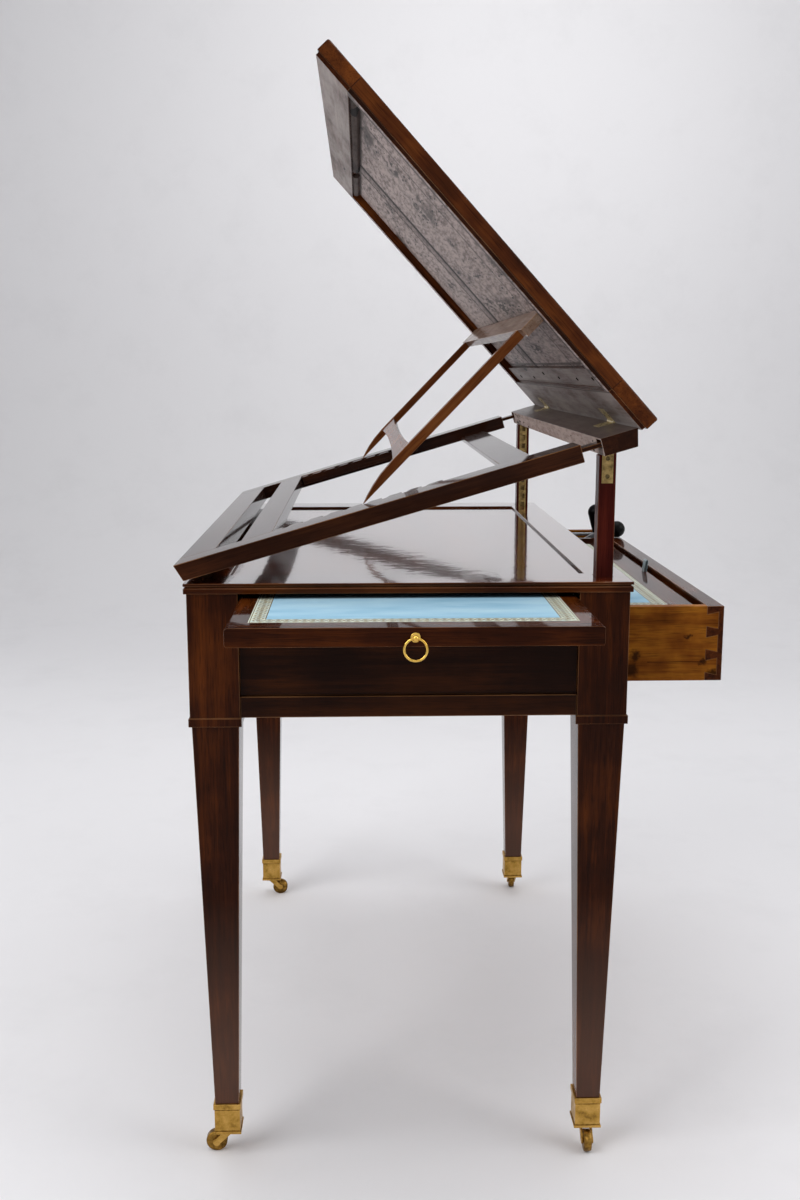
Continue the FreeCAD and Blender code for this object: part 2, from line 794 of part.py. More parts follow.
def hinge_leaf(sign, direction, inner, outer, centre_knuckle):
    """One leaf of a butt hinge about an axis along Y, with its share of the barrel.

    The plate lies on the side of X given by direction, between two levels from the axis.
    The leaf with the centre knuckle also carries the pin.
    """
    def along(low, high):
        return across(direction, low, high)

    third = "hinge_length / 6"
    half = "hinge_length / 2"
    middle = f"{sign} * hinge_place"
    spans = [(f"-({third})", third)]
    if not centre_knuckle:
        spans = [(f"-({half})", f"-({third}) - knuckle_gap"), (f"{third} + knuckle_gap", half)]
    levels = (inner, outer)
    parts = [slab(
        along("leaf_start", "leaf_start + hinge_leaf"), (f"{middle} - {half}", f"{middle} + {half}"), levels)]
    for low, high in spans:
        reach = (f"{middle} + {low}", f"{middle} + {high}")
        knuckle = rod("y", "barrel_radius", reach, ("0", "0"))
        web = slab(along("barrel_radius / 2", "leaf_start + overcut"), reach, levels)
        if not centre_knuckle:
            knuckle = cut(knuckle, rod("y", "hinge_pin + shaft_fit", reach, ("0", "0")))
        parts += [knuckle, web]
    if centre_knuckle:
        parts.append(rod("y", "hinge_pin", (f"{middle} - {half}", f"{middle} + {half}"), ("0", "0")))
    return fuse(*parts)


def build_rear_hinges():
    """Hinges between the carcass and the tilting frame."""
    fixed = [hinge_leaf(sign, 1, "-frame_gap / 2", "-leaf_gap", True) for _, sign in SIDES]
    node("carcass_hinge_leaves", place(group(*fixed), "rear_x", "0", "rear_z"))
    moving = [hinge_leaf(sign, 1, "leaf_gap", "frame_gap / 2", False) for _, sign in SIDES]
    node("frame_hinge_leaves", on_frame(group(*moving)))


def hinge_recess(sign, low, high):
    """The hollow that a board hinge needs, about the hinge axis."""
    middle = f"{sign} * hinge_place"
    span = (f"{middle} - hinge_length / 2 - rest_gap", f"{middle} + hinge_length / 2 + rest_gap")
    barrel = rod("y", "barrel_radius + rest_gap", span, ("0", "0"))
    bed = slab(("-(leaf_start + hinge_leaf)", "0"), span, (low, high))
    return fuse(barrel, bed)


# Lift

def build_lift():
    """Uprights with their racks and head straps, raised to the photographed height."""
    half = "upright_width / 2"
    racks = []
    straps = []
    for end, sign in SIDES:
        post = new_body("Upright")
        points = (
            (f"-{half}", "upright_low"),
            (half, "upright_low"),
            (half, "upright_top"),
            ("0", "upright_top"),
            (f"-{half}", "upright_top - upright_fall"),
        )
        pad(post, outline(post, "XZ_Plane", points), "upright_width", middle=True)
        place(post, "upright_x", f"{sign} * upright_y")
        rack_low = "pinion_z - (rack_slots_below + 0.5) * rack_pitch - rack_margin"
        rack_high = "pinion_z + (rack_slots - rack_slots_below - 0.5) * rack_pitch"
        strip = (
            ("upright_x - rack_width / 2", "upright_x + rack_width / 2"),
            across(sign, "upright_in_y", "upright_in_y + rack_thickness"),
            (rack_low, rack_high),
        )
        relief = slab(
            ("upright_x - rack_slot_width / 2 - side_gap", "upright_x + rack_slot_width / 2 + side_gap"),
            across(sign, "upright_in_y", "upright_in_y + 2 * rack_thickness"),
            (f"{rack_low} + overcut", f"{rack_high} - overcut"),
        )
        plate = (
            ("upright_x - strap_width / 2", "upright_x + strap_width / 2"),
            across(sign, "upright_out_y - strap_thickness", "upright_out_y"),
            ("pivot_z - strap_length", "pivot_z"),
        )
        node(f"upright_{end}", cut(post, slab(*strip), relief, slab(*plate)))
        racks.append(build_rack(sign, rack_low, rack_high))
        eye = rod("y", "strap_width / 2", plate[1], ("upright_x", "pivot_z"))
        hole = rod("y", "pin_radius + shaft_fit", plate[1], ("upright_x", "pivot_z"))
        straps.append(cut(fuse(slab(*plate), eye), hole))
    node("racks", group(*racks))
    node("head_straps", group(*straps))


def build_rack(sign, low, high):
    """A brass strip with a row of slots for the pinion's teeth."""
    strip = new_body("Rack")
    width = ("-rack_width / 2", "rack_width / 2")
    pad(strip, rectangle(strip, "XZ_Plane", width, (low, high)), "rack_thickness", middle=True)
    first = "pinion_z - rack_slots_below * rack_pitch"
    opening = rectangle(
        strip, "XZ_Plane",
        ("-rack_slot_width / 2", "rack_slot_width / 2"),
        (f"{first} - rack_slot_height / 2", f"{first} + rack_slot_height / 2"),
    )
    slot = pocket(strip, opening, "rack_thickness + 2 * overcut", middle=True)
    repeat(strip, slot, "Z_Axis", "rack_pitch * (rack_slots - 1)", "rack_slots")
    return place(strip, "upright_x", f"{sign} * (upright_in_y + rack_thickness / 2)")


def build_pinions():
    """Five-toothed pinions on arbors that end in a square for the crank."""
    for end, sign in SIDES:
        wheel = new_body("Pinion")
        hub = new_sketch(wheel, "YZ_Plane", "0")
        hub.addGeometry(Part.Circle(Vector(), Vector(0, 0, 1), number("pinion_hub")), False)
        hub.addConstraint(Sketcher.Constraint("Coincident", 0, 3, -1, 1))
        ring = hub.addConstraint(Sketcher.Constraint("Radius", 0, number("pinion_hub")))
        hub.setExpression(f"Constraints[{ring}]", formula("pinion_hub"))
        pad(wheel, hub, "pinion_width", middle=True)
        height = across(sign, "pinion_hub / 2", "pinion_tip")
        width = ("-pinion_tooth / 2", "pinion_tooth / 2")
        tooth = pad(wheel, rectangle(wheel, "YZ_Plane", height, width), "pinion_width", middle=True)
        doc.recompute()
        crown = wheel.newObject("PartDesign::PolarPattern", "Crown")
        crown.Originals = [tooth]
        crown.Axis = (origin_item(wheel, "X_Axis"), [""])
        crown.Angle = 360
        crown.setExpression("Occurrences", formula("pinion_teeth"))
        wheel.Tip = crown
        arbor_end = "stile_out_x - upright_x - side_gap"
        shaft = rod("x", "arbor_radius", ("0", f"{arbor_end} - arbor_square_length"), ("0", "0"))
        flat = "arbor_square / 2"
        square_end = slab(("0", arbor_end), (f"-{flat}", flat), (f"-{flat}", flat))
        node(f"pinion_{end}", place(
            fuse(wheel, shaft, square_end), "upright_x", f"{sign} * pinion_y", "pinion_z"))


# Tilting frame, built flat at the rear hinge axis

def frame_profile(length):
    """The side view of a frame piece whose rear end leans back over the hinge."""
    return (
        ("rear_axis_out + frame_inset", "frame_low"),
        (length, "frame_low"),
        (length, "frame_high"),
        ("rear_axis_out + frame_inset - frame_undercut", "frame_high"),
    )


def build_frame():
    """Side rails with tongues, cross rails and ratchet strips."""
    ratchets = []
    for end, sign in SIDES:
        bar = new_body("SideRail")
        pad(bar, outline(bar, "XZ_Plane", frame_profile("rail_end")), "frame_rail_width", middle=True)
        place(bar, y=f"{sign} * (frame_out_y - frame_rail_width / 2)")
        tongue = slab(
            ("rail_end - overcut", "rail_end + tongue_length"),
            across(sign, "tongue_inner", "tongue_outer"),
            ("frame_high - tongue_drop - tongue_thickness", "frame_high - tongue_drop"),
        )
        node(f"frame_rail_{end}", on_frame(fuse(bar, tongue)))
        ratchets.append(build_ratchet(sign))
    node("frame_ratchets", on_frame(group(*ratchets)))
    rear = new_body("RearRail")
    profile = frame_profile("rear_rail_width - frame_inset")
    pad(rear, outline(rear, "XZ_Plane", profile), "2 * frame_in_y", middle=True)
    inside = ("-frame_in_y", "frame_in_y")
    slat = slab(
        ("slat_start", "slat_start + slat_width"), inside, ("frame_high - slat_thickness", "frame_high"))
    bottom = slab(
        ("cross_start", "cross_start + cross_width"), inside, ("frame_low", "frame_low + cross_thickness"))
    node("frame_cross_rails", on_frame(group(rear, slat, cut(bottom, *ratchets))))


def build_ratchet(sign):
    """A strip with a row of notches, steep on the side that stops the prop."""
    strip = new_body("Ratchet")
    end = "notch_first + notch_count * notch_pitch"
    levels = ("ratchet_high - ratchet_depth", "ratchet_high")
    pad(strip, rectangle(strip, "XZ_Plane", ("ratchet_start", end), levels), "ratchet_width", middle=True)
    points = (
        ("notch_first - notch_back - notch_lean", "ratchet_high + overcut"),
        ("notch_first - notch_back", "ratchet_high - notch_depth"),
        ("notch_first + notch_width", "ratchet_high + overcut"),
    )
    notch = pocket(strip, outline(strip, "XZ_Plane", points), "ratchet_width + 2 * overcut", middle=True)
    repeat(strip, notch, "X_Axis", "notch_pitch * (notch_count - 1)", "notch_count")
    return place(strip, y=f"{sign} * (frame_in_y - ratchet_width / 2)")


# Hinge block, built level at the uprights' pivot

def build_block():
    """The block that the uprights carry, with its pivot pins and lower hinge leaves."""
    bar = new_body("Block")
    points = (
        ("-block_rear", "block_low"),
        ("block_front - block_undercut", "block_low"),
        ("block_front", "block_high"),
        ("-block_rear", "block_high"),
    )
    pad(bar, outline(bar, "XZ_Plane", points), "2 * frame_out_y", middle=True)
    tools = []
    fittings = []
    for _, sign in SIDES:
        strap_room = across(sign, "upright_out_y - strap_thickness - side_gap", "upright_out_y + side_gap")
        tools.append(slab(
            ("-strap_width / 2 - strap_swing", "strap_width / 2 + strap_swing"),
            strap_room,
            ("block_low - overcut", "strap_width / 2 + side_gap"),
        ))
        pin_span = across(sign, "upright_out_y - pin_inner", "upright_out_y + pin_outer")
        tools.append(rod("y", "pin_radius + pin_seat", pin_span, ("0", "0")))
        tongue_low = "frame_high - tongue_drop - tongue_thickness - pivot_up"
        tools.append(slab(
            ("-block_rear - overcut", "tongue_length - block_rear - joint_gap + tongue_end"),
            across(sign, "tongue_inner - tongue_side", "tongue_outer + tongue_side"),
            (f"{tongue_low} - tongue_below", f"{tongue_low} + tongue_thickness + tongue_above"),
        ))
        recess = hinge_recess(sign, "-board_gap / 2 - leaf_metal", "overcut")
        tools.append(place(recess, "axis_x", "0", "axis_z"))
        fittings.append(rod("y", "pin_radius", pin_span, ("0", "0")))
        leaf = hinge_leaf(sign, -1, "-board_gap / 2 - leaf_metal", "-board_gap / 2", True)
        fittings.append(place(leaf, "axis_x", "0", "axis_z"))
    node("hinge_block", on_block(cut(bar, *tools)))
    node("block_fittings", on_block(group(*fittings)))


# Board, built closed at its hinge axis, running towards negative X

def build_board():
    """Panel, end rails with a batten, side strips and upper hinge leaves, with a step round the edge."""
    full = ("-board_half", "board_half")
    wide = ("-board_half - overcut", "board_half + overcut")
    long = ("board_end - overcut", "board_nose + overcut")
    step_levels = ("board_low - overcut", "board_low + edge_step_height")
    side_steps = {
        sign: slab(long, across(sign, "board_half - edge_step", "board_half + overcut"), step_levels)
        for _, sign in SIDES
    }
    nose_step = slab(("board_nose - edge_step", "board_nose + overcut"), wide, step_levels)
    end_step = slab(("board_end - overcut", "board_end + edge_step"), wide, step_levels)
    inside = ("-board_side_in", "board_side_in")
    middle = ("board_end + top_rail", "rail_start")
    depth = ("board_low", "board_high")
    node("board_panel", on_board(group(slab(middle, inside, ("panel_low", "board_high")))))
    recesses = [hinge_recess(sign, "-overcut", "board_low + leaf_metal") for _, sign in SIDES]
    bottom = cut(slab(("rail_start", "board_nose"), full, depth), *recesses, nose_step, *side_steps.values())
    top = cut(slab(("board_end", "board_end + top_rail"), full, depth), end_step, *side_steps.values())
    batten = slab(
        ("rail_start - batten_width", "rail_start"), inside, ("panel_low - batten_thickness", "panel_low"))
    node("board_end_rails", on_board(group(bottom, top, batten)))
    strips = []
    leaves = []
    for _, sign in SIDES:
        strip = slab(middle, across(sign, "board_side_in", "board_half"), depth)
        depth_span = across(sign, "board_side_in - overcut", "board_side_in + prop_pin_hole")
        bore = rod("y", "prop_pin + shaft_fit", depth_span, ("-prop_seat", "seat_up"))
        strips.append(cut(strip, bore, side_steps[sign]))
        leaves.append(hinge_leaf(sign, -1, "board_low", "board_low + leaf_metal", False))
    node("board_sides", on_board(group(*strips)))
    node("board_hinge_leaves", on_board(group(*leaves)))


# Prop, built folded at its pivot, running towards negative X

def build_prop():
    """Two arms with pointed feet, a head rail on pivot pins and a curved brace."""
    arms = []
    for _, sign in SIDES:
        arm = new_body("Arm")
        points = [("-prop_length", "-half_prop"), ("-prop_head", "-half_prop"), ("-prop_head", "half_prop")]
        for step in (0, 0.35, 0.6, 0.8):
            along = f"prop_taper * {1 - step} - prop_length"
            points.append((along, f"half_prop - prop_thickness * {step ** 2}"))
        pad(arm, outline(arm, "XZ_Plane", points), "prop_arm_width", middle=True)
        arms.append(place(arm, y=f"{sign} * prop_arm_place"))
    node("prop_arms", on_prop(group(*arms)))
    head_end = "board_side_in - side_gap"
    span = (f"-({head_end})", head_end)
    head = slab(("-prop_head", "0"), span, ("-half_prop", "half_prop"))
    pin_end = "board_side_in + prop_pin_reach"
    pins = rod("y", "prop_pin", (f"-({pin_end})", pin_end), ("0", "0"))
    node("prop_head", on_prop(fuse(head, rod("y", "half_prop", span, ("0", "0")), pins)))
    brace = new_body("Brace")
    half_span = "prop_arm_place - prop_arm_width / 2"
    steps = [step / 6 - 1 for step in range(13)]
    points = []
    for side in (-1, 1):
        for step in steps:
            half_width = f"brace_width / 2 - brace_waist * {1 - step ** 2}"
            points.append((f"{side} * ({half_width}) - brace_place", f"{-side * step} * ({half_span})"))
    pad(brace, outline(brace, "XY_Plane", points), "brace_thickness", middle=True)
    node("prop_brace", on_prop(brace))


# Drawer, opened as in the photograph

def build_drawer():
    """A dovetailed box with a partition, a tray for the cranks and runners for the leaf."""
    sides = []
    for _, sign in SIDES:
        board = new_body("DrawerSide")
        blank = rectangle(board, "XZ_Plane", ("drawer_rear", "drawer_inner"), ("drawer_low", "drawer_rim"))
        pad(board, blank, "drawer_side", middle=True)
        first = "(drawer_low + drawer_rim) / 2 - tail_pitch * (tail_count - 1) / 2"
        points = (
            ("drawer_inner - overcut", f"{first} - tail_root / 2"),
            ("drawer_inner", f"{first} - tail_root / 2"),
            ("drawer_inner + tail_length", f"{first} - tail_root / 2 - tail_flare"),
            ("drawer_inner + tail_length", f"{first} + tail_root / 2 + tail_flare"),
            ("drawer_inner", f"{first} + tail_root / 2"),
            ("drawer_inner - overcut", f"{first} + tail_root / 2"),
        )
        tail = pad(board, outline(board, "XZ_Plane", points), "drawer_side", middle=True)
        repeat(board, tail, "Z_Axis", "tail_pitch * (tail_count - 1)", "tail_count")
        sides.append(place(board, y=f"{sign} * (drawer_out_y - drawer_side / 2)"))
    node("drawer_sides", group(*sides))
    face = slab(
        ("drawer_inner", "drawer_face"), ("-drawer_out_y", "drawer_out_y"), ("drawer_low", "drawer_rim"))
    node("drawer_front", cut(face, *sides))
    inside = ("-drawer_in_y", "drawer_in_y")
    rear_in = "drawer_rear + drawer_side"
    back_levels = ("floor_low", "drawer_rim - drawer_back_drop")
    node("drawer_back", slab(("drawer_rear", rear_in), inside, back_levels))
    node("drawer_bottom", slab((rear_in, "drawer_inner"), inside, ("floor_low", "floor_top")))
    partition = slab(
        (rear_in, "drawer_inner"), ("partition_place", "partition_out"), ("floor_top", "drawer_rim"))
    tray_end = "drawer_inner - tray_length"
    pocket_span = ("partition_out", "drawer_in_y")
    tray = slab((tray_end, "drawer_inner"), pocket_span, ("tray_top - tray_floor", "tray_top"))
    stop = slab(
        (f"{tray_end} - tray_stop", tray_end), pocket_span, ("floor_top", "drawer_rim - drawer_back_drop"))
    bearing = ("leaf_low - leaf_runner", "leaf_low - rest_gap")
    near = slab((rear_in, "drawer_inner"), ("-drawer_in_y", "leaf_runner_width - drawer_in_y"), bearing)
    far = slab((rear_in, "drawer_inner"), ("partition_place - leaf_runner_width", "partition_place"), bearing)
    node("drawer_dividers", group(partition, tray, stop, near, far))


def build_leaf():
    """The sliding writing leaf over the drawer, with leather let into its top."""
    leather = (
        ("leaf_rear + leaf_margin", "leaf_front - leaf_front_margin"),
        ("leaf_near + leaf_margin", "leaf_far - leaf_margin"),
        ("leaf_top - leather_thickness", "leaf_top"),
    )
    panel = slab(("leaf_rear", "leaf_front"), ("leaf_near", "leaf_far"), ("leaf_low", "leaf_top"))
    node("writing_leaf", cut(panel, slab(*leather)))
    node("leaf_leather", slab(*leather))


# End slides and their ring pulls

def build_slides():
    """Leather-lined slides; the near one is pulled out, the far one is closed."""
    for end, sign in SIDES:
        face = "stile_out_y + slide_open" if sign < 0 else "stile_out_y"
        width = ("-slide_width / 2", "slide_width / 2")
        panel = slab(width, across(sign, f"{face} - slide_length", face), ("slide_low", "slide_top"))
        leather = (
            ("slide_margin - slide_width / 2", "slide_width / 2 - slide_margin"),
            across(sign, f"{face} - slide_length + slide_margin", f"{face} - slide_front_margin"),
            ("slide_top - leather_thickness", "slide_top"),
        )
        axis = f"{sign} * ({face} + ring_stand)"
        centre = ("0", "slide_middle")
        foot = rod("y", "boss_foot", across(sign, face, f"{face} + boss_foot_thickness"), centre)
        neck = rod("y", "boss_neck", across(sign, face, f"{face} + ring_stand"), centre)
        ball = doc.addObject("Part::Sphere", "Ball")
        ball.setExpression("Radius", formula("boss_radius"))
        place(ball, "0", axis, "slide_middle")
        eye = rod("x", "boss_hole", ("-2 * boss_radius", "2 * boss_radius"), (axis, "slide_middle"))
        boss = cut(fuse(foot, neck, ball), eye)
        node(f"slide_{end}", group(cut(panel, slab(*leather)), boss))
        node(f"slide_leather_{end}", slab(*leather))
        ring = doc.addObject("Part::Torus", "Ring")
        ring.setExpression("Radius1", formula("ring_radius"))
        ring.setExpression("Radius2", formula("ring_wire"))
        node(f"pull_ring_{end}", place(ring, "0", axis, "slide_middle - ring_radius", (1, 0, 0), "90 deg"))


# Crank handles

def crank_arm():
    """A cranked handle with its knob's axis at the origin, running towards negative X."""
    half = "crank_bar_width / 2"
    bar = slab(("-crank_reach", "0"), (f"-{half}", half), ("0", "crank_bar"))
    knob_eye = rod("z", "crank_eye", ("0", "crank_bar"), ("0", "0"))
    socket_eye = rod("z", "crank_eye", ("0", "crank_bar"), ("-crank_reach", "0"))
    socket = rod("z", "crank_socket", ("-crank_socket_length", "0"), ("-crank_reach", "0"))
    spindle = rod("z", "spindle_radius", ("0", "knob_length - knob_cap"), ("0", "0"))
    flat = "crank_square / 2"
    drive = slab(
        (f"-crank_reach - {flat}", f"{flat} - crank_reach"),
        (f"-{flat}", flat),
        ("-crank_socket_length - overcut", "-crank_socket_floor"),
    )
    return cut(fuse(bar, knob_eye, socket_eye, socket, spindle), drive)


def crank_knob():
    """A pear-shaped knob about the spindle: a cone that runs into a ball."""
    low = "crank_bar + knob_gap"
    middle = f"{low} + knob_length - knob_radius"
    ball = doc.addObject("Part::Sphere", "Ball")
    ball.setExpression("Radius", formula("knob_radius"))
    place(ball, z=middle)
    neck = doc.addObject("Part::Cone", "Neck")
    neck.setExpression("Radius1", formula("knob_stem"))
    neck.setExpression("Radius2", formula("knob_radius * sqrt(1 - knob_neck_share ^ 2)"))
    neck.setExpression("Height", formula("knob_length - knob_radius * (1 + knob_neck_share)"))
    place(neck, z=low)
    bore = rod("z", "spindle_radius + shaft_fit", ("0", "knob_length - knob_cap + side_gap"), ("0", "0"))
    return cut(fuse(ball, neck), bore)


def lay_down(piece):
    """Turn a crank on its side and lean it from the drawer front down into the tray."""
    place(piece, axis=(1, 0, 0), angle="90 deg")
    return place(group(piece), "crank_b_x", "crank_b_y", "crank_b_z", (0, -1, 0), "crank_b_drop")


def build_cranks():
    """One crank standing in the tray, the other lying with its knob over the drawer front."""
    standing = ("crank_a_x", "crank_a_y", "crank_z")
    node("crank_arms", group(place(crank_arm(), *standing), lay_down(crank_arm())))
    node("crank_knob_a", place(crank_knob(), *standing))
    node("crank_knob_b", lay_down(crank_knob()))


def check():
    """Stop if any object failed or any sub-part is not made of sound solids."""
    for item in doc.Objects:
        if {"Invalid", "Error"} & set(item.State):
            raise RuntimeError(f"{item.Name} ({item.Label}) failed: {item.State}")
    for piece in nodes:
        shape = piece.Shape
        if shape.isNull() or not shape.isValid() or not shape.Solids:
            raise RuntimeError(f"{piece.Label} has no sound solid")


def export():
    """Move the whole table so that its box stands centred on the origin, and write the sub-parts."""
    box = Part.makeCompound([piece.Shape for piece in nodes]).optimalBoundingBox(False, False)
    shift = Vector(-(box.XMin + box.XMax) / 2, -(box.YMin + box.YMax) / 2, -box.ZMin)
    os.makedirs("parts", exist_ok=True)
    for piece in nodes:
        shape = piece.Shape.copy()
        shape.translate(shift)
        shape.exportStep(f"parts/{piece.Label}.step")
    print("shift", shift.x, shift.y, shift.z)
    print("size", box.XLength, box.YLength, box.ZLength)
    for alias in PLACES:
        print("place", alias, number(alias))


fill_sheets()
build_top()
build_legs()
build_rails()
build_sabots()
build_casters()
build_rear_hinges()
build_lift()
build_pinions()
build_frame()
build_block()
build_board()
build_prop()
build_drawer()
build_leaf()
build_slides()
build_cranks()
doc.recompute()
check()
export()
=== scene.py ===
"""Looks for an architect's writing table: eased edges, fittings, finishes, light and camera."""

import logging
import math
import random
from dataclasses import dataclass
from enum import Enum
from functools import partial, reduce
from typing import Callable, Iterable, Optional, Sequence, Union

import bmesh
import bpy
from bmesh.types import BMEdge, BMesh, BMFace, BMVert
from bpy.types import Material, Node, NodeSocket, NodeTree, Object
from mathutils import Matrix, Vector


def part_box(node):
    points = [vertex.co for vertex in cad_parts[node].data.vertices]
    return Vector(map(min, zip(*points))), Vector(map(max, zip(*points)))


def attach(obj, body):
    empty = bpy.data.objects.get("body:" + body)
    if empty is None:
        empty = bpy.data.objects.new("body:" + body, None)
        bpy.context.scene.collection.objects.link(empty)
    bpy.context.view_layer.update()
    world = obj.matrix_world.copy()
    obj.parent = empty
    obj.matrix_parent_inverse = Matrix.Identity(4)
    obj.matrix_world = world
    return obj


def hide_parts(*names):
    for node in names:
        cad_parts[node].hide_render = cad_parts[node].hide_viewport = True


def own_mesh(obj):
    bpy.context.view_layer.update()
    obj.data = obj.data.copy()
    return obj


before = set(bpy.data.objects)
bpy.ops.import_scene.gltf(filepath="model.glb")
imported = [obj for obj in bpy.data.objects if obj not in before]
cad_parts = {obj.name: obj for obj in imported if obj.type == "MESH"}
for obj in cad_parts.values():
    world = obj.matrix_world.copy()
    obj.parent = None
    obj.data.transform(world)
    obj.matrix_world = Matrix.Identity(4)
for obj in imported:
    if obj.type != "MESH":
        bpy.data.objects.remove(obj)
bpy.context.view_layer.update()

LOG = logging.getLogger("architect_table")

# Lengths are in millimetres unless a comment or docstring says metres
MM = 0.001

# How close points are merged, count as in one place and count as on a plane, in metres, and the
# digits of a metre that put points in order
MERGE = 0.01 * MM
NEAR = 0.1 * MM
ON_PLANE = 1e-7
DIGITS = 6

# Angles under which faces become one, and over which an edge is eased and is shaded sharp
FLAT = math.radians(0.4)
CREASE = math.radians(30)
SOFT = math.radians(50)

X_AXIS = Vector((1, 0, 0)).freeze()
Y_AXIS = Vector((0, 1, 0)).freeze()
Z_AXIS = Vector((0, 0, 1)).freeze()

# From the table's own frame, which the places here are in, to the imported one, and where the board's
# hinge axis lies, in metres
SHIFT = Vector((-59.619, 79.95, 0.0)) * MM
BOARD_AXIS = Vector((252.202, 0.0, 890.556)) * MM + SHIFT

# How nearly a face has to look one way, as the cosine of the angle
LOOSELY = 0.6
ROUGHLY = 0.7
FAIRLY = 0.8
SQUARELY = 0.9

# Slopes of the tilted bodies at rest, in degrees about the table's length
FRAME_TILT = 16.383
BOARD_SLOPE = -47.530
PROP_SLOPE = 45.964
LEVEL = 0.0

# Where the board's hinges stand along the table, where each leaf's screws stand from the axis and
# along the hinge, how far the leaves' faces lie from the axis, and the screws' radius and height
HINGE_PLACES = (-270.0, 270.0)
HINGE_SCREWS = ((-9.0, -14.0), (-14.0, 0.0), (-9.0, 14.0))
HINGE_FACE = 0.25
HINGE_SCREW_RADIUS = 2.2
HINGE_PROUD = 0.2

# A screw head's sides, and its taper and its slot's half width and depth, as shares of its radius
# and height
SCREW_SIDES = 20
SCREW_TAPER = 0.86
SLOT_HALF = 0.13
SLOT_DEPTH = 0.6

# The middle of a noise's colour
MID_NOISE = (0.5, 0.5, 0.5)

SIDES = ("near", "far")
CORNERS = ("front_near", "front_far", "rear_near", "rear_far")

Value = Union[float, Sequence[float], NodeSocket, Node]
Inputs = Union[dict[Union[str, int], Value], Sequence[Value]]
Adder = Callable[..., Node]
Plane = tuple[Vector, Vector]


class Grain(Enum):
    """Which way the grain of a piece runs, as the scales that draw a pattern long that way."""

    ACROSS = (0.045, 1.0, 1.0)
    ALONG = (1.0, 0.045, 1.0)
    UPRIGHT = (1.0, 1.0, 0.045)


class Slot(Enum):
    """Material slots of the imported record."""

    MAHOGANY = "mahogany"
    BOARD = "board_wood"
    LINING = "drawer_lining"
    BRASS = "brass"
    LEATHER = "leather"
    STEEL = "steel"
    EBONY = "ebony"


def linear(colour: str) -> tuple[float, float, float, float]:
    """Turn an sRGB hex colour to linear light.

    Args:
        colour: the colour as #rrggbb.

    Returns:
        Red, green, blue and a full alpha.
    """
    parts = [int(colour[index:index + 2], 16) / 255 for index in (1, 3, 5)]
    red, green, blue = (
        part / 12.92 if part <= 0.04045 else ((part + 0.055) / 1.055) ** 2.4 for part in parts)
    return (red, green, blue, 1.0)


def pitch(size: float) -> float:
    """Return the texture scale of a pattern whose marks are this many millimetres apart."""
    return 1 / (size * MM)


def sloped(degrees: float) -> Matrix:
    """Return the turn from a tilted body's own frame to the table's, about the table's length."""
    return Matrix.Rotation(math.radians(-degrees), 3, "Y")


def wire(node: Node, inputs: Inputs) -> None:
    """Link or set a node's inputs.

    Args:
        node: the node.
        inputs: what goes into each input, by name or number, or in order. A node stands for its
            first output in use.
    """
    pairs = inputs.items() if isinstance(inputs, dict) else enumerate(inputs)
    for key, value in pairs:
        if isinstance(value, Node):
            value = next(output for output in value.outputs if output.enabled)
        if isinstance(value, NodeSocket):
            node.id_data.links.new(value, node.inputs[key])
        else:
            node.inputs[key].default_value = value


def put(
    tree: NodeTree,
    kind: str,
    inputs: Inputs = (),
    stops: Iterable[tuple[float, str]] = (),
    **settings: object,
) -> Node:
    """Add a shader node with its settings, and link or set its inputs.

    A Map Range takes a value, its range and the new range. A Mix takes its share as 0, and what it
    mixes as 2 and 3 for numbers, or 6 and 7 for colours.

    Args:
        tree: the node tree.
        kind: the node's type name, without the part that all of them share.
        inputs: what goes into its inputs.
        stops: places and colours of a colour ramp.
        settings: the node's own properties.

    Returns:
        The new node.
    """
    made = tree.nodes.new(f"ShaderNode{kind}")
    for key, value in settings.items():
        setattr(made, key, value)
    for index, (place, colour) in enumerate(stops):
        ramp = made.color_ramp.elements
        stop = ramp[index] if index < len(ramp) else ramp.new(place)
        stop.position = place
        stop.color = linear(colour)
    wire(made, inputs)
    return made


# Finishes

@dataclass(frozen=True)
class Finish:
    """A surface finish that makes its own material."""

    name: str

    def shade(self, add: Adder, shader: Node) -> None:
        """Add this finish's nodes with add, and wire them to the shader."""
        raise NotImplementedError

    def material(self) -> Material:
        """Make this finish's material, or find the one made before.

        Returns:
            The material.
        """
        found = bpy.data.materials.get(self.name)
        if found is None:
            found = bpy.data.materials.new(self.name)
            found.use_nodes = True
            tree = found.node_tree
            self.shade(partial(put, tree), tree.nodes["Principled BSDF"])
        return found


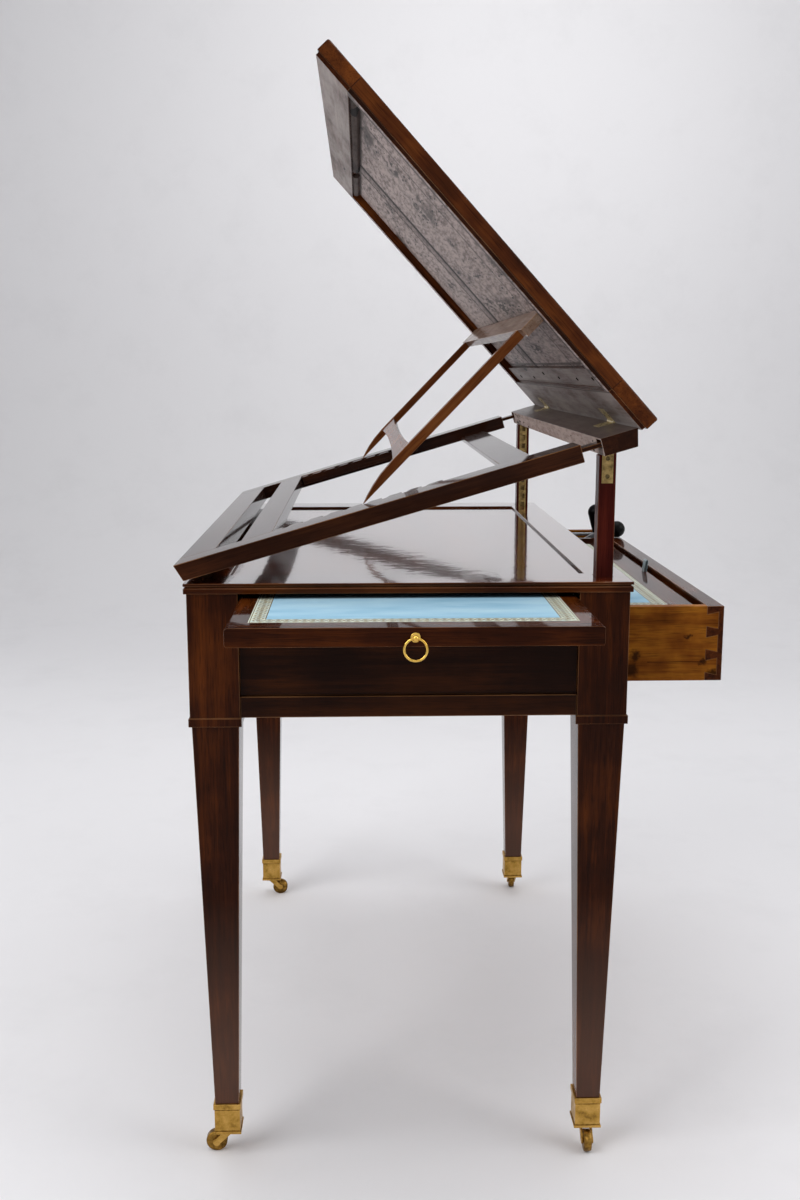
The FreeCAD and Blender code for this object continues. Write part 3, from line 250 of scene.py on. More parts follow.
@dataclass(frozen=True)
class Wood(Finish):
    """Sawn and planed wood, polished, waxed or left bare.

    Streaks a few millimetres wide run with the grain, a slow cloud changes their depth, and open
    pores, drawn coarser than real ones so that they show, are short dark lines. Eased edges, marked
    on the mesh, take the rubbed colour: wear, and painted light along the arrises, a painted
    highlight where that colour is paler and painted shade where it is darker.
    """

    dark: str = "#160602"
    middle: str = "#341404"
    light: str = "#622f0c"
    rubbed: str = "#b07c50"
    grain: Grain = Grain.ALONG
    turn: float = LEVEL
    streak: float = 7.0
    band: float = 5.0
    pore: float = 1.1
    cloud: float = 80.0
    streak_share: float = 0.44
    band_share: float = 0.3
    cloud_share: float = 0.38
    tones: tuple[float, float, float] = (0.36, 0.54, 0.74)
    pore_range: tuple[float, float] = (0.3, 0.46)
    pore_shade: float = 0.62
    rough: float = 0.36
    rough_spread: float = 0.14
    rough_range: tuple[float, float] = (0.35, 0.75)
    coat: float = 1.0
    coat_rough: float = 0.05
    coat_ior: float = 1.13
    shine: float = 0.02
    pore_depth: float = 0.05
    wave: float = 30.0
    wave_depth: float = 0.12
    wear: float = 0.42
    wear_least: float = 0.25
    wear_range: tuple[float, float] = (0.38, 0.62)

    def marked(self, add: Adder, place: NodeSocket, wood: Node) -> Node:
        """Return the wood's colour with its marks laid over it. Plain wood has none."""
        return wood

    def shade(self, add: Adder, shader: Node) -> None:
        """Add streaks, clouds, pores, edges painted with wear and painted light, and the polish.

        Args:
            add: adds a node.
            shader: the material's shader.
        """
        place = add("TexCoord").outputs["Object"]
        turned = add("Mapping", {
            "Vector": place, "Rotation": (0.0, math.radians(self.turn), 0.0)})
        drawn = add("Mapping", {"Vector": turned, "Scale": self.grain.value})
        streaks = add("TexNoise", {
            "Vector": drawn, "Scale": pitch(self.streak), "Detail": 6.0, "Roughness": 0.62,
            "Distortion": 0.5})
        bands = add("TexNoise", {
            "Vector": drawn, "Scale": pitch(self.band * self.streak), "Detail": 2.0})
        clouds = add("TexNoise", {"Vector": turned, "Scale": pitch(self.cloud), "Detail": 3.0})
        pores = add("TexNoise", {"Vector": drawn, "Scale": pitch(self.pore), "Detail": 1.0})
        ripple = add("TexNoise", {"Vector": turned, "Scale": pitch(self.wave), "Detail": 2.0})
        tone: Value = 0.0
        for part, share in (
                (streaks, self.streak_share), (bands, self.band_share), (clouds, self.cloud_share)):
            tone = add("Math", (part, share, tone), operation="MULTIPLY_ADD")
        low, middle, high = self.tones
        figure = add("ValToRGB", (tone,), stops=(
            (low, self.dark), (high, self.light), (middle, self.middle)))
        lines = add("MapRange", (pores, *self.pore_range, self.pore_shade, 1.0))
        grained = add("Mix", {0: 1.0, 6: figure, 7: lines}, data_type="RGBA", blend_type="MULTIPLY")
        # Eased edges take the rubbed colour: wear, and painted light along the arrises.
        edge = add("Attribute", attribute_name="worn", attribute_type="GEOMETRY").outputs["Fac"]
        patches = add("MapRange", (
            clouds, *self.wear_range, self.wear_least * self.wear, self.wear))
        edge_wear_and_painted_light = add("Math", (edge, patches), operation="MULTIPLY")
        worn = add("Mix", {0: edge_wear_and_painted_light, 6: grained, 7: linear(self.rubbed)}, data_type="RGBA")
        sheen = add("MapRange", (
            tone, *self.rough_range, self.rough + self.rough_spread, self.rough))
        relief = add("Bump", {
            "Height": pores, "Strength": 0.4, "Distance": self.pore_depth * MM})
        wave = add("Bump", {
            "Height": ripple, "Strength": 0.5, "Distance": self.wave_depth * MM})
        wire(shader, {
            "Base Color": self.marked(add, place, worn), "Roughness": sheen, "Normal": relief,
            "Specular IOR Level": self.shine, "Coat Weight": self.coat, "Coat Normal": wave,
            "Coat Roughness": self.coat_rough, "Coat IOR": self.coat_ior})


@dataclass(frozen=True)
class BareUnderside(Wood):
    """Unpolished planks, greyed by age and hands: bloom, stains, worm holes, joint dirt and painted
    shadow lines.

    The marks are drawn longer along the table than real ones, so that they show at a low angle.
    Joints run up the slope and ends along the table, each with its place, width and strength; the
    ends and the joint beside the side strip are painted shadow lines. Scars have a centre and two
    half sizes.
    """

    bloom: str = "#ccb9b3"
    stain_and_shadow_colour: str = "#2b1f19"
    hole: str = "#0d0806"
    stretch: float = 0.2
    mottle: float = 6.0
    mottle_range: tuple[float, float] = (0.38, 0.58)
    bloom_share: float = 0.72
    blotch: float = 64.0
    stained_from: float = 0.55
    stain_spread: float = 0.1
    stain_share: float = 0.85
    scratch: float = 5.0
    scratch_range: tuple[float, float] = (0.46, 0.54)
    scratch_least: float = 0.1
    scar_core: float = 0.4
    hole_spacing: float = 6.5
    hole_size: float = 0.26
    hole_spread: tuple[float, float] = (-0.12, 0.04)
    joints: tuple[tuple[float, float, float], ...] = ()
    ends: tuple[tuple[float, float, float], ...] = ()
    scars: tuple[tuple[float, float, float, float], ...] = ()

    def marked(self, add: Adder, place: NodeSocket, wood: Node) -> Node:
        """Lay the bloom, the stains, the joint dirt and painted shadow lines, the scars and the holes
        over the wood.

        Args:
            add: adds a node.
            place: the piece's own coordinates.
            wood: the wood's colour.

        Returns:
            The colour with its marks.
        """
        drawn = add("Mapping", {"Vector": place, "Scale": (1.0, self.stretch, 1.0)})
        mottles = add("TexNoise", {
            "Vector": drawn, "Scale": pitch(self.mottle), "Detail": 5.0, "Roughness": 0.7})
        pale = add("MapRange", (mottles, *self.mottle_range, 0.0, self.bloom_share))
        bloomed = add("Mix", {0: pale, 6: wood, 7: linear(self.bloom)}, data_type="RGBA")
        blotches = add("TexNoise", {
            "Vector": drawn, "Scale": pitch(self.blotch), "Detail": 7.0, "Roughness": 0.72})
        stained = self.stained_from
        stains_and_shadows = [add("MapRange", (
            blotches, stained, stained + self.stain_spread, 0.0, self.stain_share))]
        level = add("Mapping", {
            "Vector": place, "Rotation": (0.0, math.radians(self.turn), 0.0)})
        axes = add("SeparateXYZ", (level,))
        start = (sloped(self.turn) @ X_AXIS).dot(BOARD_AXIS)
        # Joints and ends draw dark lines: dirt along the joints, painted shadow beside the batten,
        # rail and side strip.
        for axis, origin, rows in (("Y", SHIFT.y, self.joints), ("X", start, self.ends)):
            for middle, width, strength in rows:
                line = add("Math", (
                    axes.outputs[axis], middle * MM + origin, width * MM / 2), operation="COMPARE")
                stains_and_shadows.append(add("Math", (line, strength), operation="MULTIPLY"))
        fine = add("TexNoise", {"Vector": drawn, "Scale": pitch(self.scratch), "Detail": 4.0})
        scratches = add("MapRange", (fine, *self.scratch_range, self.scratch_least, 1.0))
        for x, y, half_x, half_y in self.scars:
            near = add("Mapping", {
                "Vector": level, "Scale": (pitch(half_x), pitch(half_y), 0.0), "Location": (
                    -(x * MM + start) / (half_x * MM), -(y * MM + SHIFT.y) / (half_y * MM), 0.0)})
            away = add("VectorMath", (near,), operation="LENGTH")
            spot = add("MapRange", (away, self.scar_core, 1.0, 1.0, 0.0))
            stains_and_shadows.append(add("Math", (spot, scratches), operation="MULTIPLY"))
        stain_and_shadow_share = reduce(lambda one, two: add("Math", (one, two), operation="MAXIMUM"), stains_and_shadows)
        stained_and_shadowed = add("Mix", {0: stain_and_shadow_share, 6: bloomed, 7: linear(self.stain_and_shadow_colour)}, data_type="RGBA")
        holes = add("TexVoronoi", {
            "Vector": drawn, "Scale": pitch(self.hole_spacing), "Randomness": 1.0})
        below, above = self.hole_spread
        size = add("MapRange", (blotches, stained + below, stained + above, 0.0, self.hole_size))
        eaten = add("Math", (holes, size), operation="LESS_THAN")
        return add("Mix", {0: eaten, 6: stained_and_shadowed, 7: linear(self.hole)}, data_type="RGBA")


@dataclass(frozen=True)
class LegWood(Wood):
    """Polished wood painted paler towards the floor: a painted reflection of the pale floor in its
    polish.
    """

    floor_reflection_colour: str = "#84675a"
    reflection_from: float = 340.0
    reflection_to: float = 130.0
    reflection_share: float = 0.36

    def marked(self, add: Adder, place: NodeSocket, wood: Node) -> Node:
        """Lay the painted floor reflection, paler towards the floor, over the wood.

        Args:
            add: adds a node.
            place: the piece's own coordinates.
            wood: the wood's colour.

        Returns:
            The colour with the painted floor reflection.
        """
        height = add("SeparateXYZ", (place,)).outputs["Z"]
        share = add("MapRange", (
            height, self.reflection_to * MM, self.reflection_from * MM, self.reflection_share, 0.0))
        return add("Mix", {0: share, 6: wood, 7: linear(self.floor_reflection_colour)}, data_type="RGBA")


@dataclass(frozen=True)
class Knotted(Wood):
    """Oiled wood with knots, bruises and a drying crack on the drawer's near side.

    Knots have a place, a height and a radius. The crack has a start, an end and a height.
    """

    knot: str = "#2a1304"
    knots: tuple[tuple[float, float, float], ...] = (
        (271.0, 617.0, 9.0), (268.0, 601.0, 11.0), (334.0, 640.0, 4.5), (366.0, 594.0, 9.0),
        (352.0, 610.0, 5.0))
    knot_core: float = 0.35
    knot_share: float = 0.9
    bend: float = 6.0
    bend_reach: float = 16.0
    crack: tuple[float, float, float] = (286.0, 352.0, 610.0)
    crack_width: float = 0.9

    def marked(self, add: Adder, place: NodeSocket, wood: Node) -> Node:
        """Lay the knots, bent by a slow noise, and the straight crack over the wood.

        Args:
            add: adds a node.
            place: the piece's own coordinates.
            wood: the wood's colour.

        Returns:
            The colour with its marks.
        """
        noise = add("TexNoise", {
            "Vector": place, "Scale": pitch(self.bend), "Detail": 5.0, "Roughness": 0.65})
        centred = add("VectorMath", (
            noise.outputs["Color"], MID_NOISE), operation="SUBTRACT")
        reach = self.bend_reach * MM
        bent = add("VectorMath", (centred, (reach, reach, reach), place), operation="MULTIPLY_ADD")
        axes = add("SeparateXYZ", (bent,))
        flat = add("CombineXYZ", {"X": axes.outputs["X"], "Z": axes.outputs["Z"]})
        marks = []
        for x, z, radius in self.knots:
            away = add("VectorMath", (
                flat, (x * MM + SHIFT.x, 0.0, z * MM)), operation="DISTANCE")
            marks.append(add("MapRange", (
                away, self.knot_core * radius * MM, radius * MM, self.knot_share, 0.0)))
        start, end, height = self.crack
        straight = add("SeparateXYZ", (place,)).outputs
        level = add("Math", (
            straight["Z"], height * MM, self.crack_width / 2 * MM), operation="COMPARE")
        run = add("Math", (
            straight["X"], (start + end) / 2 * MM + SHIFT.x, (end - start) / 2 * MM),
            operation="COMPARE")
        marks.append(add("Math", (level, run), operation="MULTIPLY"))
        share = reduce(lambda one, two: add("Math", (one, two), operation="MAXIMUM"), marks)
        return add("Mix", {0: share, 6: wood, 7: linear(self.knot)}, data_type="RGBA")


@dataclass(frozen=True)
class Metal(Finish):
    """Cast, drawn or turned metal: tarnish gathers in clouds, and the edges are painted bright, for
    wear from handling and as a painted highlight.

    The fine scratches are drawn coarser than real ones, so that they show.
    """

    bright: str = "#c39a52"
    dull: str = "#8c6a33"
    tarnish: str = "#4b371b"
    rough: float = 0.3
    rough_range: tuple[float, float] = (0.35, 0.7)
    rough_spread: tuple[float, float] = (0.75, 1.5)
    metallic: float = 1.0
    cloud: float = 14.0
    bright_to: float = 0.34
    tarnish_from: float = 0.55
    tarnish_spread: float = 0.16
    wear: float = 0.7
    scratch: float = 1.2
    scratch_depth: float = 0.02

    def shade(self, add: Adder, shader: Node) -> None:
        """Add tarnish clouds, fine scratches and bright edges, both wear and painted highlight.

        Args:
            add: adds a node.
            shader: the material's shader.
        """
        place = add("TexCoord").outputs["Object"]
        clouds = add("TexNoise", {
            "Vector": place, "Scale": pitch(self.cloud), "Detail": 6.0, "Roughness": 0.65})
        skin = add("ValToRGB", (clouds,), stops=(
            (self.bright_to, self.bright), (self.tarnish_from + self.tarnish_spread, self.tarnish),
            (self.tarnish_from, self.dull)))
        # Eased edges are painted bright: wear, and a painted highlight.
        edge = add("Attribute", attribute_name="worn", attribute_type="GEOMETRY").outputs["Fac"]
        edge_wear_and_painted_light = add("Math", (edge, self.wear), operation="MULTIPLY")
        worn = add("Mix", {0: edge_wear_and_painted_light, 6: skin, 7: linear(self.bright)}, data_type="RGBA")
        scratches = add("TexNoise", {"Vector": place, "Scale": pitch(self.scratch), "Detail": 3.0})
        smooth, matt = (self.rough * share for share in self.rough_spread)
        gloss = add("MapRange", (clouds, *self.rough_range, smooth, matt))
        relief = add("Bump", {
            "Height": scratches, "Strength": 0.35, "Distance": self.scratch_depth * MM})
        wire(shader, {
            "Base Color": worn, "Roughness": gloss, "Normal": relief, "Metallic": self.metallic})


@dataclass(frozen=True)
class TooledLeather(Finish):
    """Dyed skiver leather with a gilt tooled border: two fine lines with a guilloche between them.

    The centre and the half sizes are in metres. Lines have an inset from the edge and a width. The
    pebbled grain is drawn coarser than the skin's own, so that it shows.
    """

    centre: tuple[float, float] = (0.0, 0.0)
    half: tuple[float, float] = (0.1, 0.1)
    dye: str = "#a3cbe1"
    faded: str = "#b9dae8"
    deep: str = "#8ab9d2"
    gilt: str = "#6b5120"
    dusted: str = "#dde0c8"
    tones: tuple[float, float, float] = (0.3, 0.5, 0.72)
    cloud: float = 40.0
    brushed: float = 0.3
    pebble: float = 1.3
    lines: tuple[tuple[float, float], ...] = ((1.6, 1.0), (17.0, 1.2))
    band_middle: float = 9.6
    band_swing: float = 5.2
    band_pitch: float = 18.0
    band_line: float = 1.15
    dot: float = 2.1
    wipe: float = 3.0
    gilt_range: tuple[float, float] = (0.3, 0.45)
    gilt_least: float = 0.6
    dust_range: tuple[float, float] = (0.35, 0.6)
    dust_share: tuple[float, float] = (0.5, 0.95)
    pressed: float = -1.5
    relief: float = 0.12
    rough: float = 0.6
    gilt_rough: float = 0.4
    shine: float = 0.12

    def border(self, add: Adder, axes: Node, inset: Node, side: Node) -> Node:
        """Draw the border's lines, its two strands and the dots between them.

        Args:
            add: adds a node.
            axes: the place on the sheet in millimetres from its centre.
            inset: how far the nearest edge is.
            side: whether that edge runs up the sheet.

        Returns:
            The mask of the border.
        """
        run = add("Mix", {
            0: side, 2: axes.outputs["X"], 3: axes.outputs["Y"]}, data_type="FLOAT")
        masks = [
            add("Math", (inset, at, width / 2), operation="COMPARE") for at, width in self.lines]
        phase = add("Math", (run, math.tau / self.band_pitch), operation="MULTIPLY")
        swing = add("Math", (phase,), operation="SINE")
        for way in (-1, 1):
            strand = add("Math", (
                swing, way * self.band_swing, self.band_middle), operation="MULTIPLY_ADD")
            masks.append(add("Math", (inset, strand, self.band_line), operation="COMPARE"))
        cycle = add("Math", (run, self.band_pitch / 2, 0.0), operation="WRAP")
        along = add("Math", (cycle, self.band_pitch / 4), operation="SUBTRACT")
        rise = add("Math", (inset, self.band_middle), operation="SUBTRACT")
        away = add("VectorMath", (add("CombineXYZ", (along, rise)),), operation="LENGTH")
        masks.append(add("Math", (away, self.dot), operation="LESS_THAN"))
        return reduce(lambda one, two: add("Math", (one, two), operation="MAXIMUM"), masks)

    def shade(self, add: Adder, shader: Node) -> None:
        """Add the dye, the pebbled grain and the gilt border measured from the nearest edge.

        Args:
            add: adds a node.
            shader: the material's shader.
        """
        place = add("TexCoord").outputs["Object"]
        moved = add("Mapping", {
            "Vector": place, "Location": (-self.centre[0] / MM, -self.centre[1] / MM, 0.0),
            "Scale": (1 / MM, 1 / MM, 1 / MM)})
        axes = add("SeparateXYZ", (moved,))
        insets = []
        for axis, half in zip("XY", self.half):
            away = add("Math", (axes.outputs[axis],), operation="ABSOLUTE")
            insets.append(add("Math", (half / MM, away), operation="SUBTRACT"))
        inset = add("Math", insets, operation="MINIMUM")
        side = add("Math", insets, operation="LESS_THAN")
        tooling = self.border(add, axes, inset, side)
        wipe = add("TexNoise", {"Vector": place, "Scale": pitch(self.wipe), "Detail": 4.0})
        kept = add("MapRange", (wipe, *self.gilt_range, self.gilt_least, 1.0))
        gold = add("Math", (tooling, kept), operation="MULTIPLY")
        brushed = add("Mapping", {"Vector": place, "Scale": (self.brushed, 1.0, 1.0)})
        clouds = add("TexNoise", {"Vector": brushed, "Scale": pitch(self.cloud), "Detail": 6.0})
        low, middle, high = self.tones
        dyed = add("ValToRGB", (clouds,), stops=(
            (low, self.deep), (high, self.faded), (middle, self.dye)))
        band = add("Math", (inset, self.lines[-1][0]), operation="LESS_THAN")
        rubbed = add("MapRange", (wipe, *self.dust_range, *self.dust_share))
        dust = add("Math", (band, rubbed), operation="MULTIPLY")
        ground = add("Mix", {0: dust, 6: dyed, 7: linear(self.dusted)}, data_type="RGBA")
        colour = add("Mix", {0: gold, 6: ground, 7: linear(self.gilt)}, data_type="RGBA")
        pebbles = add("TexVoronoi", {"Vector": place, "Scale": pitch(self.pebble)})
        skin = add("Math", (gold, self.pressed, pebbles), operation="MULTIPLY_ADD")
        relief = add("Bump", {"Height": skin, "Strength": 0.3, "Distance": self.relief * MM})
        matt = add("MapRange", (gold, 0.0, 1.0, self.rough, self.gilt_rough))
        wire(shader, {
            "Base Color": colour, "Roughness": matt, "Normal": relief,
            "Specular IOR Level": self.shine})


@dataclass(frozen=True)
class Ribbon(Finish):
    """Woven silk ribbon, faded: fine cross ribs and a soft sheen."""

    colour: str = "#8fa6ad"
    shadow: str = "#5f757c"
    tones: tuple[float, float] = (0.1, 0.7)
    rib: float = 1.1
    rib_depth: float = 0.1
    rough: float = 0.55
    sheen: float = 0.4

    def shade(self, add: Adder, shader: Node) -> None:
        """Add the ribs, drawn coarser than silk's own so that they show.

        Args:
            add: adds a node.
            shader: the material's shader.
        """
        place = add("TexCoord").outputs["Object"]
        ribs = add("TexWave", {
            "Vector": place, "Scale": pitch(self.rib) / math.tau, "Distortion": 0.6},
            bands_direction="Z").outputs["Fac"]
        cloth = add("ValToRGB", (ribs,), stops=zip(self.tones, (self.shadow, self.colour)))
        relief = add("Bump", {"Height": ribs, "Strength": 0.4, "Distance": self.rib_depth * MM})
        wire(shader, {
            "Base Color": cloth, "Normal": relief, "Roughness": self.rough,
            "Sheen Weight": self.sheen})


@dataclass(frozen=True)
class Backdrop(Finish):
    """Matt studio paper or floor paint: one even colour with a faint cloud of scuffs."""

    colour: str = "#e9e8ea"
    scuff: str = "#e4e3e5"
    tones: tuple[float, float] = (0.5, 0.8)
    cloud: float = 260.0
    rough: float = 0.85
    shine: float = 0.2

    def shade(self, add: Adder, shader: Node) -> None:
        """Add the scuffs, fainter than the eye picks out on an even wall.

        Args:
            add: adds a node.
            shader: the material's shader.
        """
        place = add("TexCoord").outputs["Object"]
        clouds = add("TexNoise", {
            "Vector": place, "Scale": pitch(self.cloud), "Detail": 8.0, "Roughness": 0.7})
        paper = add("ValToRGB", (clouds,), stops=zip(self.tones, (self.colour, self.scuff)))
        wire(shader, {
            "Base Color": paper, "Roughness": self.rough, "Specular IOR Level": self.shine})


# French-polished mahogany: dark red-brown under a clear film.
def mahogany(name: str, grain: Grain, turn: float = LEVEL, **changes: object) -> Wood:
    """Return polished mahogany, named, with its grain, its slope in degrees and what differs."""
    return Wood(f"french_polished_mahogany_{name}", grain=grain, turn=turn, **changes)


MAHOGANY_LONG = mahogany("long", Grain.ALONG)
MAHOGANY_CROSS = mahogany("cross", Grain.ACROSS)
# The legs carry a painted reflection of the floor, paler towards their feet.
MAHOGANY_LEG = LegWood("french_polished_mahogany_leg", grain=Grain.UPRIGHT)
# The moulded edge of the top was polished with the rest, and its edges take little of the rubbed
# colour, the wear and painted highlight.
MAHOGANY_MOULDING = mahogany("moulding", Grain.ACROSS, wear=0.25)
MAHOGANY_MOULDING_LONG = mahogany("moulding_long", Grain.ALONG, wear=0.25)
# The top is rubbed out to the brightest polish, a mirror at a low angle with a slow waviness.
RUBBED_OUT = {
    "dark": "#2a0d04", "middle": "#571f09", "light": "#8a4415", "rough": 0.1, "rough_spread": 0.05,
    "coat_ior": 1.5, "shine": 0.45, "pore_depth": 0.01, "wave": 22.0, "wear": 0.25}
MAHOGANY_TOP = mahogany("top", Grain.ALONG, wave_depth=0.4, **RUBBED_OUT)
MAHOGANY_TOP_END = mahogany("top_end", Grain.ACROSS, wave_depth=0.25, **RUBBED_OUT)
# The tilting frame is a little darker than the carcass.
FRAMING = {"dark": "#1a0a04", "middle": "#2d1408", "light": "#472410"}
MAHOGANY_FRAME = mahogany("frame", Grain.ACROSS, FRAME_TILT, **FRAMING)
MAHOGANY_FRAME_LONG = mahogany("frame_long", Grain.ALONG, FRAME_TILT, **FRAMING)
# End panels and rails are painted nearly black-brown as shade under the slides, with a slow golden
# figure.
SHADED_MAHOGANY_PANEL = mahogany(
    "panel", Grain.ACROSS, dark="#130501", middle="#210c03", light="#472208", cloud=140.0,
    streak_share=0.3, cloud_share=0.5)
# The uprights are redder and rubbed dull by sliding in their guides.
MAHOGANY_LIFT = mahogany(
    "lift", Grain.UPRIGHT, dark="#280b08", middle="#43130d", light="#5b2015", coat=0.6,
    coat_rough=0.12)
# The board's lipping is less stained, a medium red-brown; its eased arrises are painted dark as
# shade.
LIPPING = {
    "dark": "#2b1104", "middle": "#48210b", "light": "#733d16", "rubbed": "#241009", "wear": 0.9,
    "cloud": 55.0, "cloud_share": 0.5, "streak_share": 0.35}
BOARD_EDGE_LONG = mahogany("lipping_long", Grain.ALONG, BOARD_SLOPE, **LIPPING)
BOARD_EDGE_CROSS = mahogany("lipping_cross", Grain.ACROSS, BOARD_SLOPE, **LIPPING)
# The board's face has a broader figure.
BOARD_FACE = mahogany("board_face", Grain.ACROSS, BOARD_SLOPE, streak=11.0)
BOARD_FACE_LONG = mahogany("board_clamp", Grain.ALONG, BOARD_SLOPE, streak=11.0)
# The prop is waxed, not stained: a warm orange-brown.
WAXED = {
    "dark": "#431f0b", "middle": "#673616", "light": "#824d25", "rubbed": "#b88a62", "coat": 0.7,
    "coat_rough": 0.14}
PROP_WOOD = mahogany("prop", Grain.ACROSS, PROP_SLOPE, **WAXED)
PROP_WOOD_LONG = mahogany("prop_long", Grain.ALONG, PROP_SLOPE, **WAXED)
# The prop's head is painted pale grey-brown: a painted sheen for the grey reflection its face shows
# at a low angle.
PROP_HEAD_PAINTED_SHEEN = mahogany("prop_head", Grain.ALONG, PROP_SLOPE, **{
    **WAXED, "dark": "#5a3f2f", "middle": "#7b6151", "light": "#958071"})
# Aged bare planks: pinkish grey and dry, with a dull sheen.
GREYED = {
    "dark": "#3c2f2a", "middle": "#6a5952", "light": "#96857d", "rubbed": "#54423a", "coat": 0.0,
    "rough": 0.46, "rough_spread": 0.14, "shine": 0.4, "streak": 5.0, "wear": 0.3}
# The joint at -411 and the ends at -83 and -466 are painted shadow beside the side strip, the batten
# and the top rail; the other joints are dirt.
PLANKS = BareUnderside(
    "aged_bare_planks", grain=Grain.ACROSS, turn=BOARD_SLOPE,
    joints=((86.0, 24.0, 1.0), (118.0, 50.0, 0.4), (146.0, 10.0, 0.6), (-250.0, 10.0, 0.6),
            (-411.0, 12.0, 0.9)),
    ends=((-83.0, 4.0, 0.8), (-466.0, 9.0, 0.8)),
    scars=((-405.0, -179.0, 20.0, 60.0), (-434.0, -177.0, 8.0, 36.0), (-349.0, -100.0, 26.0, 34.0),
           (-290.0, -134.0, 12.0, 40.0), (-196.0, 15.0, 22.0, 80.0), (-184.0, -92.0, 24.0, 70.0),
           (-250.0, 250.0, 12.0, 70.0), (-110.0, -60.0, 14.0, 90.0)), **GREYED)
# The end at -51.5 is a painted shadow line along the batten's edge.
PLANKS_LONG = BareUnderside(
    "aged_bare_clamps", grain=Grain.ALONG, turn=BOARD_SLOPE, hole_spacing=26.0, stained_from=0.62,
    mottle=34.0, bloom="#b3aaa5", bloom_share=0.55, ends=((-51.5, 2.5, 0.8),), **GREYED)
# The glue blocks are darker and duller than the planks.
GLUE_BLOCK = BareUnderside(
    "aged_glue_blocks", grain=Grain.ALONG, turn=BOARD_SLOPE, hole_spacing=30.0, bloom="#6d615b",
    bloom_share=0.3, **{
        **GREYED, "dark": "#261b16", "middle": "#463831", "light": "#6a5b53", "rough": 0.6,
        "shine": 0.2})
# The block's top is darker still, and smooth from hands.
BLOCK_TOP = BareUnderside(
    "aged_bare_block", grain=Grain.ALONG, turn=FRAME_TILT, hole_spacing=60.0, stained_from=0.6,
    bloom="#5f4f48", **{
        **GREYED, "dark": "#30211c", "middle": "#40302a", "light": "#54433b", "rough": 0.28})
# The block's sawn back never took polish: pale, rough and flecked.
BLOCK_BACK = BareUnderside(
    "sawn_block_back", grain=Grain.ALONG, turn=FRAME_TILT, hole_spacing=8.0, bloom="#c4b3ab", **{
        **GREYED, "dark": "#7c665d", "middle": "#a08c84", "light": "#b5a39b", "rough": 0.8,
        "shine": 0.15})
# Oiled walnut lining: golden brown, clouded with darker figure.
OILED = {
    "dark": "#3b1d06", "middle": "#7a4312", "light": "#a86a1f", "rubbed": "#a87a45", "streak": 9.0,
    "cloud": 34.0, "streak_share": 0.42, "cloud_share": 0.48, "rough": 0.5, "coat": 0.3,
    "coat_rough": 0.2}
LINING = Wood("oiled_walnut_lining", grain=Grain.ACROSS, **OILED)
LINING_SIDE = Knotted("knotted_walnut_lining", grain=Grain.ACROSS, **OILED)
LINING_LONG = Wood("oiled_walnut_lining_long", grain=Grain.ALONG, **OILED)
# Cast brass: golden and slightly matt, brown where polish never reaches.
CAST_BRASS = Metal(
    "cast_brass", bright="#cfa458", dull="#b0883f", tarnish="#6d5026", rough=0.34,
    tarnish_from=0.56)
# The same brass where it rolls on the floor or no cloth reaches: brown and dull.
DULL_BRASS = Metal(
    "tarnished_cast_brass", bright="#a27c3a", dull="#7a5a27", tarnish="#3f2d14", rough=0.42,
    cloud=7.0, tarnish_from=0.54)
# Rolled brass that has not been polished for long: an olive-brown skin that is only half metal.
AGED_BRASS = Metal(
    "aged_rolled_brass", bright="#b79a5f", dull="#937a46", tarnish="#5b4a28", rough=0.42,
    metallic=0.5, cloud=7.0, tarnish_from=0.52)
# Hinge brass, kept pale by handling.
HINGE_BRASS = Metal(
    "handled_hinge_brass", bright="#dccfa2", dull="#b9a46c", tarnish="#7d6a3e", rough=0.32,
    metallic=0.6, cloud=5.0, tarnish_from=0.54)
# Old screws, dark all over.
SCREW_BRASS = Metal(
    "tarnished_screws", bright="#6f5c36", dull="#4d3f24", tarnish="#2b2214", rough=0.45,
    metallic=0.6, cloud=3.0)
# Turned and gilt brass: bright and clean.
GILT_BRASS = Metal(
    "turned_gilt_brass", bright="#e6bf62", dull="#d3a548", tarnish="#8f6a2c", rough=0.16,
    tarnish_from=0.66)
# Forged steel with a grey skin.
STEEL = Metal(
    "forged_steel", bright="#a9abad", dull="#7f8184", tarnish="#47433f", rough=0.36, cloud=9.0)
# Turned ebony, waxed: almost black with a clear highlight.
EBONY = Wood(
    "turned_ebony", dark="#040404", middle="#0a0909", light="#141211", rubbed="#1d1a18",
    grain=Grain.UPRIGHT, rough=0.3, coat_rough=0.08, wear=0.2)
# Woven silk, faded from blue to grey.
RIBBON = Ribbon("woven_silk_ribbon")
# Iron cut nails: nearly black with rust.
IRON = Metal(
    "cut_iron_nails", bright="#3b3532", dull="#2a2320", tarnish="#1b120e", rough=0.6, cloud=3.0)


# Shaping

def picked(found: Iterable[object], kind: type) -> list:
    """Return the vertices, edges or faces, as kind says, among an operator's results."""
    return [part for part in found if isinstance(part, kind)]


def finish_mesh(shape: BMesh, name: str, finishes: Iterable[Finish]) -> Object:
    """Turn a bmesh to a finished object with weighted normals, and link it to the scene.

    Args:
        shape: the bmesh, which is freed.
        name: the piece's name.
        finishes: the finishes on it.

    Returns:
        The new object.
    """
    mesh = bpy.data.meshes.new(name)
    shape.to_mesh(mesh)
    shape.free()
    mesh.shade_smooth()
    mesh.set_sharp_from_angle(angle=SOFT)
    for finish in finishes:
        mesh.materials.append(finish.material())
    piece = bpy.data.objects.new(name, mesh)
    bpy.context.scene.collection.objects.link(piece)
    piece.modifiers.new("weighted_normals", "WEIGHTED_NORMAL").keep_sharp = True
    return piece


